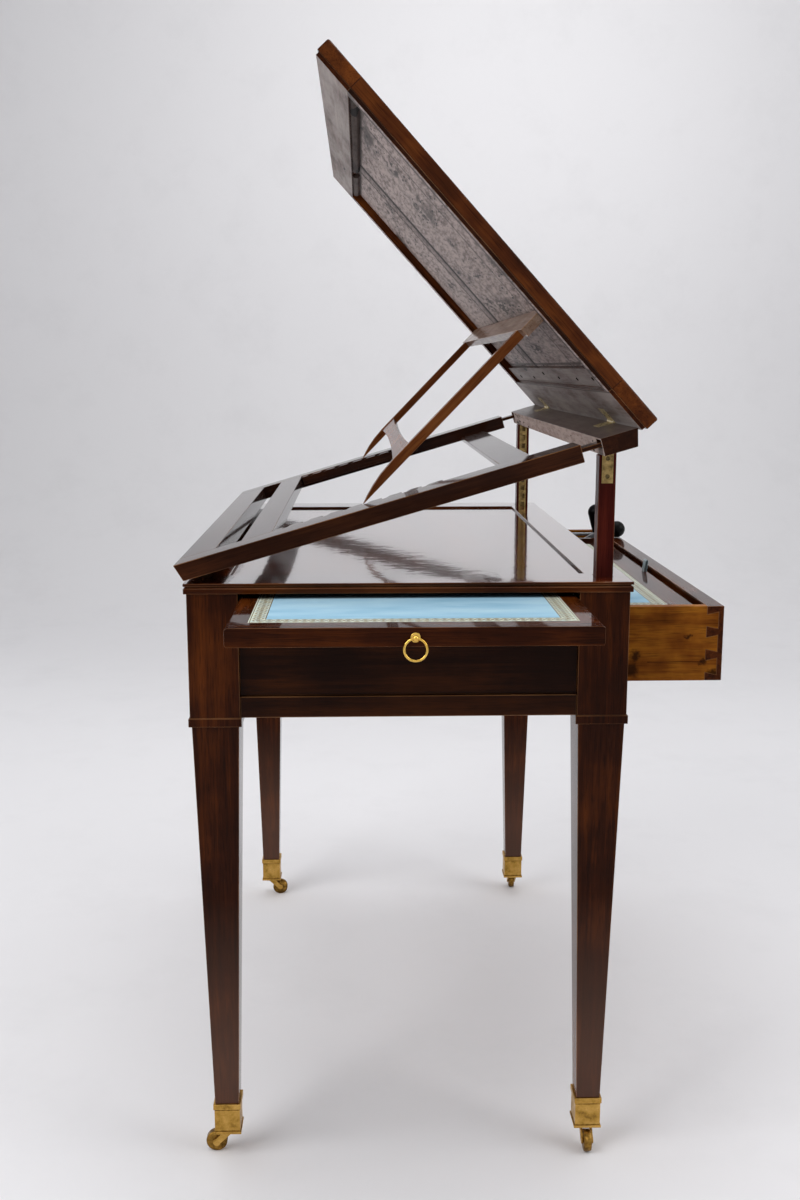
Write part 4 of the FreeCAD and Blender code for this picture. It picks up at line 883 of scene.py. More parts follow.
def welded(name: str) -> BMesh:
    """Copy a CAD node, weld it and make its flat faces whole.

    Args:
        name: the node's name.

    Returns:
        The copy.
    """
    shape = bmesh.new()
    shape.from_mesh(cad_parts[name].data)
    bmesh.ops.remove_doubles(shape, verts=shape.verts[:], dist=MERGE)
    bmesh.ops.dissolve_limit(
        shape, angle_limit=FLAT, verts=shape.verts[:], edges=shape.edges[:])
    # a concave face can fold over itself when it is cut to triangles
    bmesh.ops.connect_verts_concave(shape, faces=shape.faces[:])
    return shape


def bevelled(shape: BMesh, edges: list[BMEdge], width: float, segments: int) -> list[BMFace]:
    """Round some edges.

    Args:
        shape: the mesh to change.
        edges: the edges to round.
        width: the width of the rounding.
        segments: how many strips each rounding has.

    Returns:
        The new faces.
    """
    return bmesh.ops.bevel(
        shape, geom=edges, offset=width * MM, offset_type="OFFSET", segments=segments, profile=0.5,
        affect="EDGES", clamp_overlap=True, material=-1)["faces"]


def ease(shape: BMesh, width: float, segments: int, shortest: float) -> None:
    """Round the sharp edges and mark the new faces for the rubbed colour: wear and painted light.

    Args:
        shape: the mesh to change.
        width: the width of the rounding, or nothing to leave the edges sharp.
        segments: how many strips each rounding has.
        shortest: edges shorter than this stay sharp.
    """
    worn = shape.faces.layers.float.new("worn")
    sharp = [
        edge for edge in shape.edges
        if len(edge.link_faces) == 2
        and edge.calc_face_angle(0.0) > CREASE
        and edge.calc_length() > shortest * MM
    ]
    if sharp and width > 0:
        for face in bevelled(shape, sharp, width, segments):
            face[worn] = 1.0


def split(shape: BMesh, point: Vector, normal: Vector) -> None:
    """Part a mesh's faces along the plane through a point with this normal."""
    bmesh.ops.bisect_plane(
        shape, geom=[*shape.verts, *shape.edges, *shape.faces], plane_co=point, plane_no=normal)


def sink(shape: BMesh, faces: list[BMFace], move: Vector) -> None:
    """Push faces in or out and wall them round, leaving nothing behind.

    Args:
        shape: the mesh to change.
        faces: the faces that move.
        move: how far and which way they go, in metres.
    """
    pushed = bmesh.ops.extrude_face_region(shape, geom=faces)["geom"]
    bmesh.ops.translate(shape, verts=picked(pushed, BMVert), vec=move)
    left = [face for face in faces if face.is_valid]
    bmesh.ops.delete(shape, geom=left, context="FACES_ONLY")


def pull(shape: BMesh, edges: list[BMEdge], move: Sequence[float]) -> list[BMEdge]:
    """Pull a strip of faces out of some edges.

    Args:
        shape: the mesh to change.
        edges: the edges to start from.
        move: how far and which way the strip goes, in metres.

    Returns:
        The strip's far edges.
    """
    grown = bmesh.ops.extrude_edge_only(shape, edges=edges)["geom"]
    ends = picked(grown, BMVert)
    bmesh.ops.translate(shape, verts=ends, vec=move)
    return [edge for edge in picked(grown, BMEdge) if all(vert in ends for vert in edge.verts)]


def slotted_screw(shape: BMesh, place: Matrix, radius: float, height: float, turn: float) -> None:
    """Add a round screw head with a cut slot, standing on the place's XY plane.

    Args:
        shape: the mesh to add to.
        place: where the head stands.
        radius: the head's radius in metres.
        height: how far it stands proud, in metres.
        turn: the slot's angle in radians.
    """
    stand = place @ Matrix.Translation((0.0, 0.0, height / 2)) @ Matrix.Rotation(turn, 4, "Z")
    made = bmesh.ops.create_cone(
        shape, cap_ends=True, segments=SCREW_SIDES, radius1=radius,
        radius2=SCREW_TAPER * radius, depth=height, matrix=stand)
    up = (stand.to_3x3() @ Z_AXIS).normalized()
    side = (stand.to_3x3() @ X_AXIS).normalized()
    middle = stand.translation
    faces = {face for vert in made["verts"] for face in vert.link_faces}
    top = max(faces, key=lambda face: face.normal.dot(up))
    for sign in (-1, 1):
        cut = bmesh.ops.bisect_plane(
            shape, geom=[top, *top.edges, *top.verts], dist=ON_PLANE,
            plane_co=middle + sign * SLOT_HALF * radius * side, plane_no=side)
        top = min(
            picked(cut["geom"], BMFace),
            key=lambda face: abs((face.calc_center_median() - middle).dot(side)))
    sink(shape, [top], -SLOT_DEPTH * height * up)


def facing(normal: Vector, centre: Vector) -> Matrix:
    """Return a place at centre whose Z axis points along normal."""
    return Matrix.Translation(centre) @ normal.to_track_quat("Z", "Y").to_matrix().to_4x4()


def hinge_screws(slope: float, way: int) -> list[Matrix]:
    """Place the screws in the leaves of the board's two hinges.

    Args:
        slope: the slope of the leaf's body in degrees.
        way: 1 for the lower leaves, which look up, and -1 for the upper ones.

    Returns:
        A place for each screw.
    """
    turn = sloped(slope)
    places = []
    for hinge in HINGE_PLACES:
        for across, along in HINGE_SCREWS:
            local = Vector((across, hinge + along, -way * HINGE_FACE)) * MM
            places.append(facing(turn @ (way * Z_AXIS), BOARD_AXIS + turn @ local))
    return places


@dataclass
class SubAssembly:
    """Pieces that share a body, with the way their edges are eased. A thumb is a wide rounding."""

    body: str
    easing: float = 0.7
    segments: int = 2
    shortest: float = 4.0
    thumb: float = 3.2
    thumb_segments: int = 4

    def build(self) -> None:
        """Make every piece of this sub-assembly."""
        raise NotImplementedError

    def keep(
        self, shape: BMesh, name: str, slot: Slot, finishes: Iterable[Finish], *nodes: str
    ) -> Object:
        """Make a finished piece, put it on this body, and hide the nodes it stands for.

        Args:
            shape: the piece's mesh, which is freed.
            name: the piece's name.
            slot: the record's material slot; not used.
            finishes: the finishes on it.
            nodes: the CAD nodes that it replaces.

        Returns:
            The piece.
        """
        piece = finish_mesh(shape, name, finishes)
        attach(piece, self.body)
        if nodes:
            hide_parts(*nodes)
        LOG.info("%s on %s, %d faces", piece.name, self.body, len(piece.data.polygons))
        return piece

    def carve(
        self,
        node: str,
        slot: Slot,
        *finishes: Finish,
        choose: Optional[Callable[[Vector, Vector], int]] = None,
        cuts: Iterable[Plane] = (),
        easing: Optional[float] = None,
        shortest: Optional[float] = None,
        rounded: Optional[Callable[[BMEdge], bool]] = None,
    ) -> None:
        """Make an eased and dressed piece in a CAD node's place.

        Args:
            node: the node's name.
            slot: the record's material slot.
            finishes: the finishes on this piece.
            choose: picks a finish's index from a face's normal and centre.
            cuts: points and normals of planes that part the faces where the finish changes.
            easing: the width of the rounding, if it isn't this sub-assembly's.
            shortest: the shortest edge that is rounded, if it isn't this sub-assembly's.
            rounded: says which edges get a wide rounding first, as a plane works it.
        """
        shape = welded(node)
        if rounded is not None:
            edges = [edge for edge in shape.edges if len(edge.link_faces) == 2 and rounded(edge)]
            bevelled(shape, edges, self.thumb, self.thumb_segments)
        ease(
            shape, self.easing if easing is None else easing, self.segments,
            self.shortest if shortest is None else shortest)
        for point, normal in cuts:
            split(shape, point, normal)
        if choose is not None:
            shape.normal_update()
            for face in shape.faces:
                face.material_index = choose(face.normal, face.calc_center_median())
        self.keep(shape, f"{node}_finished", slot, finishes, node)

    def screws(self, name: str, places: Sequence[Matrix], radius: float, height: float) -> None:
        """Make one piece of slotted brass screw heads.

        Args:
            name: the piece's name.
            places: where each head stands.
            radius: the heads' radius.
            height: how far they stand proud.
        """
        shape = bmesh.new()
        draw = random.Random(len(places) + len(name))
        for place in places:
            slotted_screw(shape, place, radius * MM, height * MM, draw.uniform(0, math.pi))
        shape.faces.layers.float.new("worn")
        self.keep(shape, name, Slot.BRASS, (SCREW_BRASS,))


@dataclass
class Carcass(SubAssembly):
    """The table's fixed box: top, legs, rails, panels, sabots and escutcheons."""

    body: str = "carcass"
    border: float = 60.0
    sabot_rim: float = 7.0
    sabot_base: float = 3.0
    sabot_corner: float = 1.7

    def build(self) -> None:
        """Polish the wood, and clean the brass."""
        self.top()
        self.carve("top_panel", Slot.MAHOGANY, MAHOGANY_TOP, easing=0.4)
        for corner in CORNERS:
            self.carve(f"leg_{corner}", Slot.MAHOGANY, MAHOGANY_LEG, easing=0.8)
        # End rails, panels, runners and dust board take the mahogany painted darker as shade.
        self.carve("end_rails", Slot.MAHOGANY, SHADED_MAHOGANY_PANEL, easing=1.1)
        for node in ("end_panels", "runners", "dust_board"):
            self.carve(node, Slot.MAHOGANY, SHADED_MAHOGANY_PANEL)
        for node in ("back_panel", "front_top_rail", "front_bottom_rail"):
            self.carve(node, Slot.MAHOGANY, MAHOGANY_LONG)
        self.sabots()
        self.carve("carcass_hinge_leaves", Slot.BRASS, AGED_BRASS, easing=0.2, shortest=3.0)
        self.carve("escutcheons", Slot.BRASS, AGED_BRASS, easing=0.3, shortest=1.0)

    def top(self) -> None:
        """Polish the top's border, with its grain along each side, and its moulded edge."""
        low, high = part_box("table_top")
        start, end = low.y + self.border * MM, high.y - self.border * MM

        def by_side(normal: Vector, centre: Vector) -> int:
            """Pick the top's long or end border, or its moulded edge.

            Args:
                normal: the face's normal.
                centre: the face's middle.

            Returns:
                The finish's index.
            """
            if normal.z > SQUARELY:
                return int(not start < centre.y < end)
            return 2 if abs(normal.y) > abs(normal.x) else 3

        self.carve(
            "table_top", Slot.MAHOGANY, MAHOGANY_TOP, MAHOGANY_TOP_END, MAHOGANY_MOULDING,
            MAHOGANY_MOULDING_LONG, easing=0.9, choose=by_side,
            cuts=[(Vector((0, y, 0)), Y_AXIS) for y in (start, end)])

    def sabots(self) -> None:
        """Clean the sabots, and leave tarnish in the corners under the rim and over the base."""
        low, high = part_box("sabots")
        rim = high.z - self.sabot_rim * MM
        base = low.z + self.sabot_base * MM
        deep = self.sabot_corner * MM

        def by_corner(normal: Vector, centre: Vector) -> int:
            """Pick the clean brass, or the tarnish in a corner."""
            return int(
                rim - deep < centre.z < rim + NEAR or base - NEAR < centre.z < base + deep)

        self.carve(
            "sabots", Slot.BRASS, CAST_BRASS, DULL_BRASS, choose=by_corner, easing=0.4,
            cuts=[(Vector((0, 0, z)), Z_AXIS) for z in (rim - deep, base + deep)])


@dataclass
class Castor(SubAssembly):
    """One swivelling fork with its wheel."""

    corner: str = "front_near"

    def build(self) -> None:
        """Dress the fork and the wheel."""
        self.carve(
            f"caster_fork_{self.corner}", Slot.BRASS, CAST_BRASS, easing=0.25, shortest=2.0)
        self.body = f"wheel_{self.corner}"
        self.carve(f"caster_wheel_{self.corner}", Slot.BRASS, DULL_BRASS, easing=0.0)


@dataclass
class Lift(SubAssembly):
    """The two uprights with their racks and straps, and the pinions that drive them."""

    body: str = "lift"
    strap_screws: tuple[float, ...] = (0.42, 0.84)
    strap_screw_radius: float = 2.6
    strap_screw_proud: float = 0.15
    lining_depth: float = 5.5
    lining_width: float = 6.8
    lining_thickness: float = 0.5
    lining_short: float = 8.0
    lining_easing: float = 0.1

    def build(self) -> None:
        """Dress the uprights, racks, straps and pinions, and drive the strap screws."""
        for side in SIDES:
            self.carve(f"upright_{side}", Slot.MAHOGANY, MAHOGANY_LIFT, easing=0.6)
        self.carve("racks", Slot.BRASS, AGED_BRASS, easing=0.2)
        self.linings()
        self.carve("head_straps", Slot.BRASS, AGED_BRASS, easing=0.3)
        low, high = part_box("head_straps")
        places = []
        for y, way in ((low.y, -1), (high.y, 1)):
            for share in self.strap_screws:
                centre = Vector(((low.x + high.x) / 2, y, high.z + (low.z - high.z) * share))
                places.append(facing(way * Y_AXIS, centre))
        self.screws("strap_screws", places, self.strap_screw_radius, self.strap_screw_proud)
        for side in SIDES:
            self.body = f"gear_{side}"
            self.carve(f"pinion_{side}", Slot.STEEL, STEEL, easing=0.6, shortest=2.0)

    def linings(self) -> None:
        """Line the channels behind the racks' slots with thin brass."""
        corners = [vert.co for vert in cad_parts["racks"].data.vertices]
        ends = [corner.y for corner in corners]
        middle = (min(ends) + max(ends)) / 2
        shape = bmesh.new()
        for way in (-1, 1):
            side = [corner for corner in corners if way * (corner.y - middle) > 0]
            low, high = (Vector(map(pick, zip(*side))) for pick in (min, max))
            centre = (low + high) / 2
            centre.y = (high.y if way < 0 else low.y) + way * self.lining_depth * MM
            size = Matrix.Diagonal((
                self.lining_width * MM, self.lining_thickness * MM,
                high.z - low.z - self.lining_short * MM, 1))
            bmesh.ops.create_cube(shape, size=1.0, matrix=Matrix.Translation(centre) @ size)
        ease(shape, self.lining_easing, segments=1, shortest=1.0)
        self.keep(shape, "rack_linings", Slot.BRASS, (AGED_BRASS,))


@dataclass
class TiltingFrame(SubAssembly):
    """The frame under the board: side rails, cross rails, ratchet strips and hinge leaves."""

    body: str = "frame"

    def build(self) -> None:
        """Dress the rails, strips and leaves."""
        for side in SIDES:
            self.carve(f"frame_rail_{side}", Slot.MAHOGANY, MAHOGANY_FRAME, easing=0.8)
        self.carve("frame_cross_rails", Slot.MAHOGANY, MAHOGANY_FRAME_LONG)
        self.carve("frame_ratchets", Slot.MAHOGANY, MAHOGANY_FRAME, easing=0.25)
        self.carve("frame_hinge_leaves", Slot.BRASS, AGED_BRASS, easing=0.2, shortest=3.0)


@dataclass
class HingeBlock(SubAssembly):
    """The bar at the head of the uprights, with pins and lower hinge leaves."""

    body: str = "block"

    def build(self) -> None:
        """Dress the bar bare on top, sawn behind and polished elsewhere, and dress its fittings."""
        turn = sloped(FRAME_TILT)
        up = turn @ Z_AXIS
        back = turn @ -X_AXIS

        def by_side(normal: Vector, centre: Vector) -> int:
            """Pick the bare top, the sawn back or the polish.

            Args:
                normal: the face's normal.
                centre: the face's middle.

            Returns:
                The finish's index.
            """
            if normal.dot(up) > ROUGHLY:
                return 1
            return 2 if normal.dot(back) > LOOSELY or normal.dot(up) < -ROUGHLY else 0

        self.carve(
            "hinge_block", Slot.MAHOGANY, MAHOGANY_FRAME_LONG, BLOCK_TOP, BLOCK_BACK,
            choose=by_side)
        self.carve("block_fittings", Slot.BRASS, HINGE_BRASS, easing=0.2, shortest=3.0)
        self.screws(
            "block_hinge_screws", hinge_screws(FRAME_TILT, 1), HINGE_SCREW_RADIUS, HINGE_PROUD)


@dataclass
class Board(SubAssembly):
    """The drawing board: polished face, lipped edge, bare underside. Sizes are in its own frame.

    Grooves have a middle, a width and a depth. The nails' turn is in radians.
    """

    body: str = "board"
    step: float = 4.75
    step_spread: tuple[float, float] = (0.8, 1.2)
    top: float = 21.25
    ends: tuple[float, float] = (-521.5, 6.5)
    rail_edge: float = -471.0
    recess: float = 12.25
    glue_block: tuple[float, float] = (6.5, 9.0)
    glue_chamfer: float = 0.55
    glue_easing: float = 0.6
    glue_shortest: float = 3.0
    glue_spans: tuple[tuple[float, float], ...] = ((-400.0, 140.0), (190.0, 396.0))
    groove_ends: tuple[float, float] = (-470.0, -82.0)
    grooves: tuple[tuple[float, float, float], ...] = (
        (86.0, 3.0, 3.2), (146.0, 3.0, 1.0), (-400.0, 3.0, 1.6))
    batten_middle: float = -66.25
    batten_face: float = 6.25
    nail_places: tuple[float, ...] = (-352.0, -240.0, -96.0, 20.0, 160.0, 318.0)
    nail_sides: int = 4
    nail_radii: tuple[float, float] = (3.8, 2.6)
    nail_height: float = 1.8
    nail_sunk: float = 0.2
    nail_stray: float = 5.0
    nail_turn: float = 1.0
    nail_easing: float = 0.2
    nail_seed: int = 5

    def build(self) -> None:
        """Dress each face of the board by the way it looks, and add its small fittings."""
        turn = sloped(BOARD_SLOPE)
        up = turn @ Z_AXIS
        step = self.step * MM
        below, above = self.step_spread
        low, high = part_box("board_sides")

        def by_side(normal: Vector, centre: Vector) -> int:
            """Pick the face, the lipping, the underside or the step under the lipping, painted darker
            as shade.

            Args:
                normal: the face's normal.
                centre: the face's middle.

            Returns:
                The finish's index.
            """
            # The step under the lipping, index 3, takes a darker wood: painted shade.
            height = (centre - BOARD_AXIS).dot(up)
            if normal.dot(up) > FAIRLY:
                return 0
            if normal.dot(up) < -FAIRLY:
                return 3 if below * step < height < above * step else 2
            return 3 if height < step else 1

        def upper_arris(edge: BMEdge) -> bool:
            """Say whether an edge lies on the face's outer outline.

            Args:
                edge: the edge.

            Returns:
                Whether it does.
            """
            middle = (edge.verts[0].co + edge.verts[1].co) / 2 - BOARD_AXIS
            along = turn.transposed() @ middle
            rim = min(abs(along.y + BOARD_AXIS.y - y) for y in (low.y, high.y))
            end = min(abs(along.x - place * MM) for place in self.ends)
            return abs(along.z - self.top * MM) < NEAR and min(rim, end) < NEAR

        self.panel(turn)
        self.carve(
            "board_end_rails", Slot.BOARD, BOARD_FACE_LONG, BOARD_EDGE_LONG, PLANKS_LONG,
            MAHOGANY_LONG, choose=by_side, rounded=upper_arris)
        self.carve(
            "board_sides", Slot.BOARD, BOARD_FACE, BOARD_EDGE_CROSS, PLANKS, MAHOGANY_FRAME,
            choose=by_side, rounded=upper_arris)
        self.carve("board_hinge_leaves", Slot.BRASS, HINGE_BRASS, easing=0.2, shortest=3.0)
        self.screws(
            "board_hinge_screws", hinge_screws(BOARD_SLOPE, -1), HINGE_SCREW_RADIUS, HINGE_PROUD)
        self.glue_blocks(turn)
        self.nails(turn)

    def panel(self, turn: Matrix) -> None:
        """Make the panel, with grooves up the slope between its planks.

        Args:
            turn: the turn from the board's own frame to the table's.
        """
        up = turn @ Z_AXIS
        along = turn @ X_AXIS
        first, last = (end * MM for end in self.groove_ends)
        shape = welded("board_panel")
        shape.faces.layers.float.new("worn")
        for end in (first, last):
            split(shape, BOARD_AXIS + end * along, along)
        for middle, width, depth in self.grooves:
            centre = middle * MM + BOARD_AXIS.y
            half = width / 2 * MM
            for edge in (-half, half):
                split(shape, Vector((0, centre + edge, 0)), Y_AXIS)
            shape.normal_update()
            strip = []
            for face in shape.faces:
                place = face.calc_center_median()
                inside = first < (place - BOARD_AXIS).dot(along) < last
                if face.normal.dot(up) < -SQUARELY and abs(place.y - centre) < half and inside:
                    strip.append(face)
            sink(shape, strip, depth * MM * up)
        shape.normal_update()
        low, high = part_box("board_panel")
        for face in shape.faces:
            if face.normal.dot(up) < -FAIRLY:
                face.material_index = 1
            elif (abs(face.normal.y) > FAIRLY
                  and low.y + MM < face.calc_center_median().y < high.y - MM):
                face.material_index = 2
        self.keep(
            shape, "board_panel_finished", Slot.BOARD, (BOARD_FACE, PLANKS, MAHOGANY_FRAME),
            "board_panel")

    def glue_blocks(self, turn: Matrix) -> None:
        """Set two chamfered strips in the corner under the top rail.

        Args:
            turn: the turn from the board's own frame to the table's.
        """
        shape = bmesh.new()
        width, depth = self.glue_block
        for start, end in self.glue_spans:
            centre = MM * Vector((
                self.rail_edge + width / 2, (start + end) / 2, self.recess - depth / 2))
            size = Matrix.Diagonal((width * MM, (end - start) * MM, depth * MM, 1))
            made = bmesh.ops.create_cube(
                shape, size=1.0, matrix=Matrix.Translation(centre) @ size)
            arris = {
                edge for vert in made["verts"] for edge in vert.link_edges
                if all(v.co.x > centre.x and v.co.z < centre.z for v in edge.verts)}
            bevelled(shape, list(arris), self.glue_chamfer * width, 1)
        bmesh.ops.transform(
            shape, matrix=Matrix.Translation(BOARD_AXIS) @ turn.to_4x4(), verts=shape.verts[:])
        ease(shape, self.glue_easing, self.segments, self.glue_shortest)
        self.keep(shape, "board_glue_blocks", Slot.BOARD, (GLUE_BLOCK,))

    def nails(self, turn: Matrix) -> None:
        """Drive cut nails through the batten.

        Args:
            turn: the turn from the board's own frame to the table's.
        """
        shape = bmesh.new()
        draw = random.Random(self.nail_seed)
        foot, head = (radius * MM for radius in self.nail_radii)
        for along in self.nail_places:
            stray = draw.uniform(-self.nail_stray, self.nail_stray)
            local = MM * Vector((
                self.batten_middle + stray, along, self.batten_face - self.nail_sunk))
            place = facing(turn @ -Z_AXIS, BOARD_AXIS + turn @ local)
            bmesh.ops.create_cone(
                shape, cap_ends=True, segments=self.nail_sides, radius1=foot, radius2=head,
                depth=self.nail_height * MM,
                matrix=place @ Matrix.Rotation(draw.uniform(0, self.nail_turn), 4, "Z"))
        ease(shape, self.nail_easing, segments=1, shortest=1.0)
        self.keep(shape, "batten_nails", Slot.STEEL, (IRON,))


@dataclass
class Prop(SubAssembly):
    """The prop that stands in the ratchet."""

    body: str = "prop"

    def build(self) -> None:
        """Dress the arms, the head and the brace."""
        self.carve("prop_arms", Slot.MAHOGANY, PROP_WOOD, easing=0.6)
        # The head's pale colour is a painted sheen.
        self.carve("prop_head", Slot.MAHOGANY, PROP_HEAD_PAINTED_SHEEN, easing=0.5)
        self.carve("prop_brace", Slot.MAHOGANY, PROP_WOOD_LONG, easing=0.5)


@dataclass
class Drawer(SubAssembly):
    """The drawer with its lining and the cranks that lie in its tray."""

    body: str = "drawer"

    def build(self) -> None:
        """Dress the front, the lining and the cranks."""
        self.carve("drawer_front", Slot.MAHOGANY, MAHOGANY_LONG)
        self.carve("drawer_sides", Slot.LINING, LINING_SIDE, easing=0.4)
        self.carve("drawer_back", Slot.LINING, LINING_LONG, easing=0.4)
        self.carve("drawer_bottom", Slot.LINING, LINING, easing=0.0)
        self.carve("drawer_dividers", Slot.MAHOGANY, MAHOGANY_CROSS, easing=0.4)
        self.carve("crank_arms", Slot.STEEL, STEEL, easing=0.4, shortest=2.0)
        for knob in ("a", "b"):
            self.body = f"knob_{knob}"
            self.carve(f"crank_knob_{knob}", Slot.EBONY, EBONY, easing=0.0)


@dataclass
class LeatherPanel(SubAssembly):
    """A sheet of leather laid into a wooden panel."""

    node: str = "leaf_leather"
    bed: str = "writing_leaf"
    cells: int = 30
    ripple: float = 0.12

    def build(self) -> None:
        """Lay a slightly uneven skin where the CAD sheet lies."""
        low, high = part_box(self.node)
        size = high - low
        centre = (low + high) / 2
        shape = bmesh.new()
        bmesh.ops.create_grid(
            shape, x_segments=self.cells, y_segments=self.cells, size=0.5,
            matrix=Matrix.Translation((centre.x, centre.y, low.z))
            @ Matrix.Diagonal((size.x, size.y, 1, 1)))
        draw = random.Random(self.node)
        lifted = bmesh.ops.extrude_face_region(shape, geom=shape.faces[:])["geom"]
        top = picked(lifted, BMVert)
        bmesh.ops.translate(shape, verts=top, vec=(0, 0, size.z - self.ripple * MM))
        # the operator gives its vertices in a different order on each run
        for vert in sorted(top, key=lambda vert: [round(vert.co[axis], DIGITS) for axis in (1, 0)]):
            vert.co.z += draw.uniform(0, self.ripple) * MM
        bmesh.ops.smooth_vert(shape, verts=top, factor=0.5, use_axis_z=True)
        bmesh.ops.recalc_face_normals(shape, faces=shape.faces[:])
        finish = TooledLeather(
            f"tooled_skiver_{self.node}", centre=(centre.x, centre.y),
            half=(size.x / 2, size.y / 2))
        piece = self.keep(shape, f"{self.node}_finished", Slot.LEATHER, (finish,), self.node)


@dataclass
class WritingLeaf(SubAssembly):
    """The leaf that slides in the drawer."""

    body: str = "leaf"
    tab_place: tuple[float, float] = (345.5, -64.0)
    tab_width: float = 13.0
    tab_height: float = 16.5
    tab_fold: float = 2.0
    tab_thickness: float = 0.7
    tab_lean: float = 0.15
    tab_strips: int = 4
    tab_fold_strips: int = 8

    def build(self) -> None:
        """Dress the leaf, lay its leather and fold its tab."""
        self.carve("writing_leaf", Slot.MAHOGANY, MAHOGANY_LONG, easing=0.5)
        LeatherPanel(self.body, node="leaf_leather", bed="writing_leaf").build()
        self.tab()

    def tab(self) -> None:
        """Fold a ribbon tab at the leaf's front edge."""
        foot = Vector((*self.tab_place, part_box("writing_leaf")[1].z / MM)) * MM
        foot += Vector((SHIFT.x, SHIFT.y, 0))
        half = self.tab_width / 2 * MM
        radius = self.tab_fold * MM
        height = self.tab_height * MM - radius
        shape = bmesh.new()
        edges = [shape.edges.new([shape.verts.new((-radius, y, 0)) for y in (-half, half)])]
        for _ in range(self.tab_strips):
            edges = pull(shape, edges, (0, 0, height / self.tab_strips))
        spun = bmesh.ops.spin(
            shape, geom=edges, cent=(0, 0, height), axis=Y_AXIS, angle=math.pi,
            steps=self.tab_fold_strips, use_merge=False)
        edges = picked(spun["geom_last"], BMEdge)
        for _ in range(self.tab_strips):
            edges = pull(shape, edges, (0, 0, -height / self.tab_strips))
        bmesh.ops.remove_doubles(shape, verts=shape.verts[:], dist=MERGE)
        bmesh.ops.recalc_face_normals(shape, faces=shape.faces[:])
        bmesh.ops.solidify(shape, geom=shape.faces[:], thickness=self.tab_thickness * MM)
        for vert in shape.verts:
            vert.co.x += self.tab_lean * vert.co.z
        bmesh.ops.translate(shape, verts=shape.verts[:], vec=foot)
        shape.faces.layers.float.new("worn")
        piece = self.keep(shape, "leaf_tab", Slot.LEATHER, (RIBBON,))
        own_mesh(piece)


@dataclass
class EndSlide(SubAssembly):
    """A leather-lined slide at one end of the table, with its ring pull."""

    end: str = "near"
    thumb: float = 3.0
    long_edge: float = 100.0

    def build(self) -> None:
        """Dress the slide, its boss and its ring, and lay its leather."""
        node = f"slide_{self.end}"
        leather = f"slide_leather_{self.end}"
        low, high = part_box(node)
        leather_low, leather_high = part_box(leather)
        wide = [
            vert.co.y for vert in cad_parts[node].data.vertices
            if abs(vert.co.x - low.x) < NEAR]
        way, face = (-1, min(wide)) if self.end == "near" else (1, max(wide))

        def by_part(normal: Vector, centre: Vector) -> int:
            """Pick the clamps, the stiles beside the leather or the brass boss.

            Args:
                normal: the face's normal.
                centre: the face's middle.

            Returns:
                The finish's index.
            """
            if way * (centre.y - face) > MERGE:
                return 2
            beside = not leather_low.x < centre.x < leather_high.x
            return int(beside and leather_low.y < centre.y < leather_high.y)

        def at_side(edge: BMEdge) -> bool:
            """Say whether an edge runs along one of the slide's two sides.

            Args:
                edge: the edge.

            Returns:
                Whether it does.
            """
            one, two = (vert.co for vert in edge.verts)
            level = abs(one.z - two.z) < MERGE and abs(one.y - two.y) > self.long_edge * MM
            return level and any(
                abs(one.x - x) < NEAR and abs(two.x - x) < NEAR for x in (low.x, high.x))

        self.carve(
            node, Slot.MAHOGANY, MAHOGANY_CROSS, MAHOGANY_LONG, GILT_BRASS, choose=by_part,
            cuts=[(Vector((0, y, 0)), Y_AXIS) for y in (leather_low.y, leather_high.y)],
            shortest=0.8, rounded=at_side)
        LeatherPanel(self.body, node=leather, bed=node).build()
        self.body = f"{self.end}_ring"
        self.carve(f"pull_ring_{self.end}", Slot.BRASS, GILT_BRASS, easing=0.0)


@dataclass(frozen=True)
class Lamp:
    """A soft square lamp: its place, what it looks at and its side, in metres, and its watts."""

    name: str
    place: tuple[float, float, float]
    target: tuple[float, float, float]
    size: float
    watts: float

    def hang(self) -> None:
        """Add the lamp to the scene."""
        light = bpy.data.lights.new(self.name, "AREA")
        light.shape = "SQUARE"
        light.size = self.size
        light.energy = self.watts
        lamp = bpy.data.objects.new(self.name, light)
        lamp.location = self.place
        aim = Vector(self.target) - Vector(self.place)
        lamp.rotation_euler = aim.to_track_quat("-Z", "Y").to_euler()
        bpy.context.scene.collection.objects.link(lamp)


